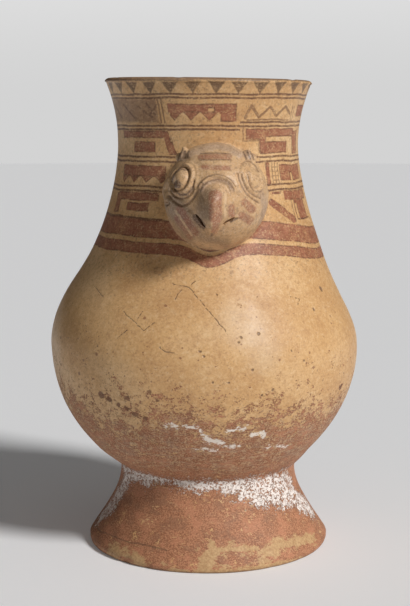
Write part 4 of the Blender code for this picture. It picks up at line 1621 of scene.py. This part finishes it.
    def place(self, way: Vector) -> Vector:
        """Where a vertex of the unit sphere goes on the carved head."""
        tilt = math.acos(min(max(way.z, -1.0), 1.0)) / math.pi
        crowded = math.pi * tilt**self.crowding
        around = math.atan2(way.y, way.x)
        sideways = math.sin(crowded)
        forward = Vector((sideways * math.cos(around), sideways * math.sin(around), math.cos(crowded)))
        plain = self.on_head(forward)
        carved = plain + self.out_of_head(plain) * self.relief(plain)
        skin = self.smoothed_to_neck(self.to_pot(carved))
        return self.outline.hand_built(self.keep_outside(skin, -self.outline.wall / 2))

    def place_in_chamber(self, way: Vector) -> Vector:
        """Where a vertex of the unit sphere goes on the rattle chamber's wall."""
        carved = self.to_pot(way * (self.chamber_width / self.width))
        return self.outline.hand_built(self.keep_outside(carved, self.chamber_clearance))

    @staticmethod
    def ball(
        name: str, sides: int, rings: int, place: Callable[[Vector], Vector]
    ) -> bpy.types.Object:
        """A ball with its pole forwards, whose every vertex is put where place says."""
        shape = bmesh.new()
        bmesh.ops.create_uvsphere(shape, u_segments=sides, v_segments=rings, radius=1.0)
        for vertex in shape.verts:
            vertex.co = place(vertex.co.copy())
        bmesh.ops.recalc_face_normals(shape, faces=shape.faces)
        return from_shape(name, shape)

    def make(self) -> bpy.types.Object:
        """The carved head, bedded into the neck's wall."""
        return self.ball("bird_head", self.segments, self.rings, self.place)

    def chamber(self) -> bpy.types.Object:
        """The hollow inside the head, to be cut out."""
        sides, rings = self.chamber_segments, self.chamber_rings
        return self.ball("rattle_chamber", sides, rings, self.place_in_chamber)

    def slit(self, side: Side) -> bpy.types.Object:
        """A flat bar with round ends that cuts one slit beside the beak into the chamber."""
        (start_x, start_y), (end_x, end_y), width = self.slits[side]
        middle = Vector(((start_x + end_x) / 2, (start_y + end_y) / 2, 0.0))
        inner = self.to_pot(middle * self.slit_reach[0])
        outer = self.to_pot(middle + Vector((0.0, 0.0, self.slit_reach[1])))
        length = math.hypot(end_x - start_x, end_y - start_y) * self.width / 2
        along = Vector((end_x - start_x, 0.0, end_y - start_y)).normalized()
        inwards = (inner - outer).normalized()
        across = inwards.cross(along).normalized()
        along = across.cross(inwards)
        shape = bmesh.new()
        depth = (outer - inner).length
        bmesh.ops.create_cone(shape, cap_ends=True, segments=36, radius1=0.5, radius2=0.5, depth=depth)
        for vertex in shape.verts:
            x, y, z = vertex.co
            aside = y * width + self.slit_bow * width * math.sin(math.tau * x)
            vertex.co = (inner + outer) / 2 + along * x * length + across * aside + inwards * z
        return from_shape(f"slit_{side.value}", shape)


def join(target: bpy.types.Object, tool: bpy.types.Object, operation: str) -> None:
    """Joins the tool to the target or marks it to be cut out."""
    modifier = target.modifiers.new(tool.name, "BOOLEAN")
    modifier.operation = operation
    modifier.solver = "EXACT"
    modifier.object = tool


@dataclass(frozen=True)
class Vase:
    """The whole vase: its pot and head joined, its join softened, and its finishes laid on."""

    axis: Vector
    body: PotBody = PotBody()
    head: BirdHead = BirdHead()
    paint_ends: float = 0.1820
    soften_reach: float = 0.0016
    soften_rounds: int = 6
    head_gap: float = 0.0012
    chamber_share: float = 0.62
    inside_gap: float = 0.0032
    lip_band: float = 0.001

    def make(self) -> bpy.types.Object:
        """Builds the vase as one closed mesh at its place in the part's frame."""
        outline = self.body.outline
        pot = self.body.make()
        head = self.head.make()
        tools = [head, self.head.chamber()] + [self.head.slit(side) for side in Side]
        join(pot, tools[0], "UNION")
        for tool in tools[1:]:
            join(pot, tool, "DIFFERENCE")
        vase = as_mesh(pot, "painted_vase")
        for tool in tools:
            bpy.data.objects.remove(tool)
        vase.data.materials.clear()
        shape = bmesh.new()
        shape.from_mesh(vase.data)
        bmesh.ops.remove_doubles(shape, verts=shape.verts, dist=0.000002)
        self.soften(shape, outline)
        for face in shape.faces:
            face.smooth = True
            face.material_index = self.skin_at(face.calc_center_median()).value
        bmesh.ops.translate(shape, verts=shape.verts, vec=self.axis)
        shape.to_mesh(vase.data)
        shape.free()
        return vase

    def soften(self, shape: bmesh.types.BMesh, outline: Outline) -> None:
        """Smooths the clay a little where the head meets the neck."""
        near = []
        centre = self.head.centre
        for vertex in shape.verts:
            x, y, z = vertex.co
            if y > 0 or (vertex.co - centre).length > self.head.width * 0.75:
                continue
            gap = math.hypot(x, y) - outline.radius(z)
            sideways = math.hypot(x - centre.x, z - centre.z)
            if abs(gap) < self.soften_reach * 1.6 and sideways > self.head.width * 0.42:
                near.append(vertex)
        every_way = {f"use_axis_{axis}": True for axis in "xyz"}
        for _ in range(self.soften_rounds):
            bmesh.ops.smooth_vert(shape, verts=near, factor=0.5, **every_way)

    def skin_at(self, point: Vector) -> Skin:
        """Which finish a face takes, by its place on the pot before it is moved to its axis."""
        outline = self.body.outline
        away = math.hypot(point.x + outline.lean_at(point.z), point.y)
        radius = outline.radius(point.z)
        if point.y < 0 and away > radius + self.head_gap and outline.waist.height * 3 < point.z:
            local = (point - self.head.centre) / (self.head.width / 2)
            return Skin.INSIDE if local.length < self.chamber_share else Skin.HEAD
        if away < radius - self.inside_gap and point.z < outline.rim.height - self.lip_band:
            return Skin.INSIDE
        if point.z < outline.waist.height:
            return Skin.FOOT
        return Skin.NECK if point.z > self.paint_ends else Skin.BOWL

    def dress(self, vase: bpy.types.Object) -> None:
        """Lays the finishes on, ties the vase to its body and hides the imported part."""
        finishes = {
            Skin.NECK: PaintedNeck(self.axis),
            Skin.BOWL: BurnishedBowl(self.axis),
            Skin.FOOT: LimedFoot(self.axis),
            Skin.HEAD: PaintedHead(self.axis, centre=self.head.centre, carved=self.head.grooves),
            Skin.INSIDE: BareInside(self.axis, gloss=0.2),
        }
        for skin in Skin:
            vase.data.materials.append(finishes[skin].make())
        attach(vase, BODY)
        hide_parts(NODE)


def towards(turn: float, rise: float) -> Vector:
    """The direction to a place that is some degrees right of the front and some degrees up."""
    turn, rise = math.radians(turn), math.radians(rise)
    return Vector((math.sin(turn) * math.cos(rise), -math.cos(turn) * math.cos(rise), math.sin(rise)))


@dataclass(frozen=True)
class Lamp:
    """A far, soft light: where it is round the vase in degrees, how wide it looks, its strength."""

    name: str
    turn: float
    rise: float
    width: float
    strength: float


@dataclass(frozen=True)
class Studio:
    """The pale floor and air, the soft light and the camera at the photograph's angle."""

    axis: Vector
    camera_offset: Vector = field(default_factory=lambda: Vector((-0.0021, -0.8644, 0.28263)))
    camera_tilt: float = math.radians(8.3254)
    focal_length_in_pixels: float = 1339.55
    picture_height: int = 606
    sensor: float = 36.0
    floor_radius: float = 6.0
    pale: Colour = (0.87, 0.87, 0.875)
    lamps: tuple[Lamp, ...] = (
        Lamp("key", 48.0, 35.0, 12.0, 2.92),
        Lamp("overhead", 22.0, 70.0, 80.0, 0.24),
    )
    floor_glow: float = 0.08
    light_of_air: Colour = (0.012, 0.012, 0.012)
    air: tuple[Colour, Colour] = ((0.65, 0.65, 0.65), (0.86, 0.86, 0.86))
    air_clears_by: float = 0.20

    def camera(self) -> None:
        """Sets the camera where the photograph was taken from."""
        data = bpy.data.cameras.new("camera")
        data.sensor_width = self.sensor
        data.lens = self.focal_length_in_pixels * self.sensor / self.picture_height
        obj = bpy.data.objects.new("camera", data)
        bpy.context.scene.collection.objects.link(obj)
        obj.location = self.axis + self.camera_offset
        obj.rotation_euler = (math.pi / 2 - self.camera_tilt, 0.0, 0.0)
        bpy.context.scene.camera = obj

    def floor(self) -> None:
        """A plain pale floor, open to every side."""
        shape = bmesh.new()
        bmesh.ops.create_circle(shape, cap_ends=True, segments=96, radius=self.floor_radius)
        obj = from_shape("floor", shape)
        material = bpy.data.materials.new("pale_floor")
        material.use_nodes = True
        shader = material.node_tree.nodes["Principled BSDF"]
        shader.inputs["Base Color"].default_value = (*self.pale, 1.0)
        shader.inputs["Roughness"].default_value = 0.9
        shader.inputs["Specular IOR Level"].default_value = 0.0
        shader.inputs["Emission Color"].default_value = (*self.pale, 1.0)
        shader.inputs["Emission Strength"].default_value = self.floor_glow
        obj.data.materials.append(material)

    def light(self, lamp: Lamp) -> None:
        """Sets up one soft light."""
        data = bpy.data.lights.new(lamp.name, "SUN")
        data.angle = math.radians(lamp.width)
        data.energy = lamp.strength
        obj = bpy.data.objects.new(lamp.name, data)
        bpy.context.scene.collection.objects.link(obj)
        way = towards(lamp.turn, lamp.rise)
        obj.location = self.axis + way
        obj.rotation_mode = "QUATERNION"
        obj.rotation_quaternion = (-way).to_track_quat("-Z", "Y")

    def pale_air(self) -> None:
        """The pale backdrop that is seen past the floor, which lights the vase only faintly."""
        world = bpy.data.worlds.new("studio_air")
        bpy.context.scene.world = world
        world.use_nodes = True
        w = Wiring(world.node_tree)
        _, _, up = w.parts(w.add("ShaderNodeTexCoord").outputs["Generated"])
        backdrop = w.mixed(w.step(up, 0.0, self.air_clears_by), *self.air)
        seen = w.add("ShaderNodeLightPath").outputs["Is Camera Ray"]
        w.feed(world.node_tree.nodes["Background"].inputs[0], w.mixed(seen, self.light_of_air, backdrop))

    def make(self) -> None:
        """Builds the studio."""
        self.camera()
        self.floor()
        for lamp in self.lamps:
            self.light(lamp)
        self.pale_air()
        bpy.context.scene.view_settings.view_transform = "Standard"


def foot_axis(node: bpy.types.Object) -> Vector:
    """Where the foot's middle is on the table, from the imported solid's resting ring."""
    ring = [v.co for v in node.data.vertices if v.co.z < 0.0001]
    middle = [(min(p[i] for p in ring) + max(p[i] for p in ring)) / 2 for i in range(2)]
    return Vector((*middle, 0.0))


def main() -> None:
    """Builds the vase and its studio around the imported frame."""
    logging.basicConfig(level=logging.INFO, format="%(name)s: %(message)s")
    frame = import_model()
    axis = foot_axis(frame["nodes"][NODE])
    vase = Vase(axis)
    piece = vase.make()
    vase.dress(piece)
    LOG.info("%s: %d faces on %s", piece.name, len(piece.data.polygons), BODY)
    Studio(axis).make()
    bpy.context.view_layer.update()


if __name__ == "__main__":
    main()
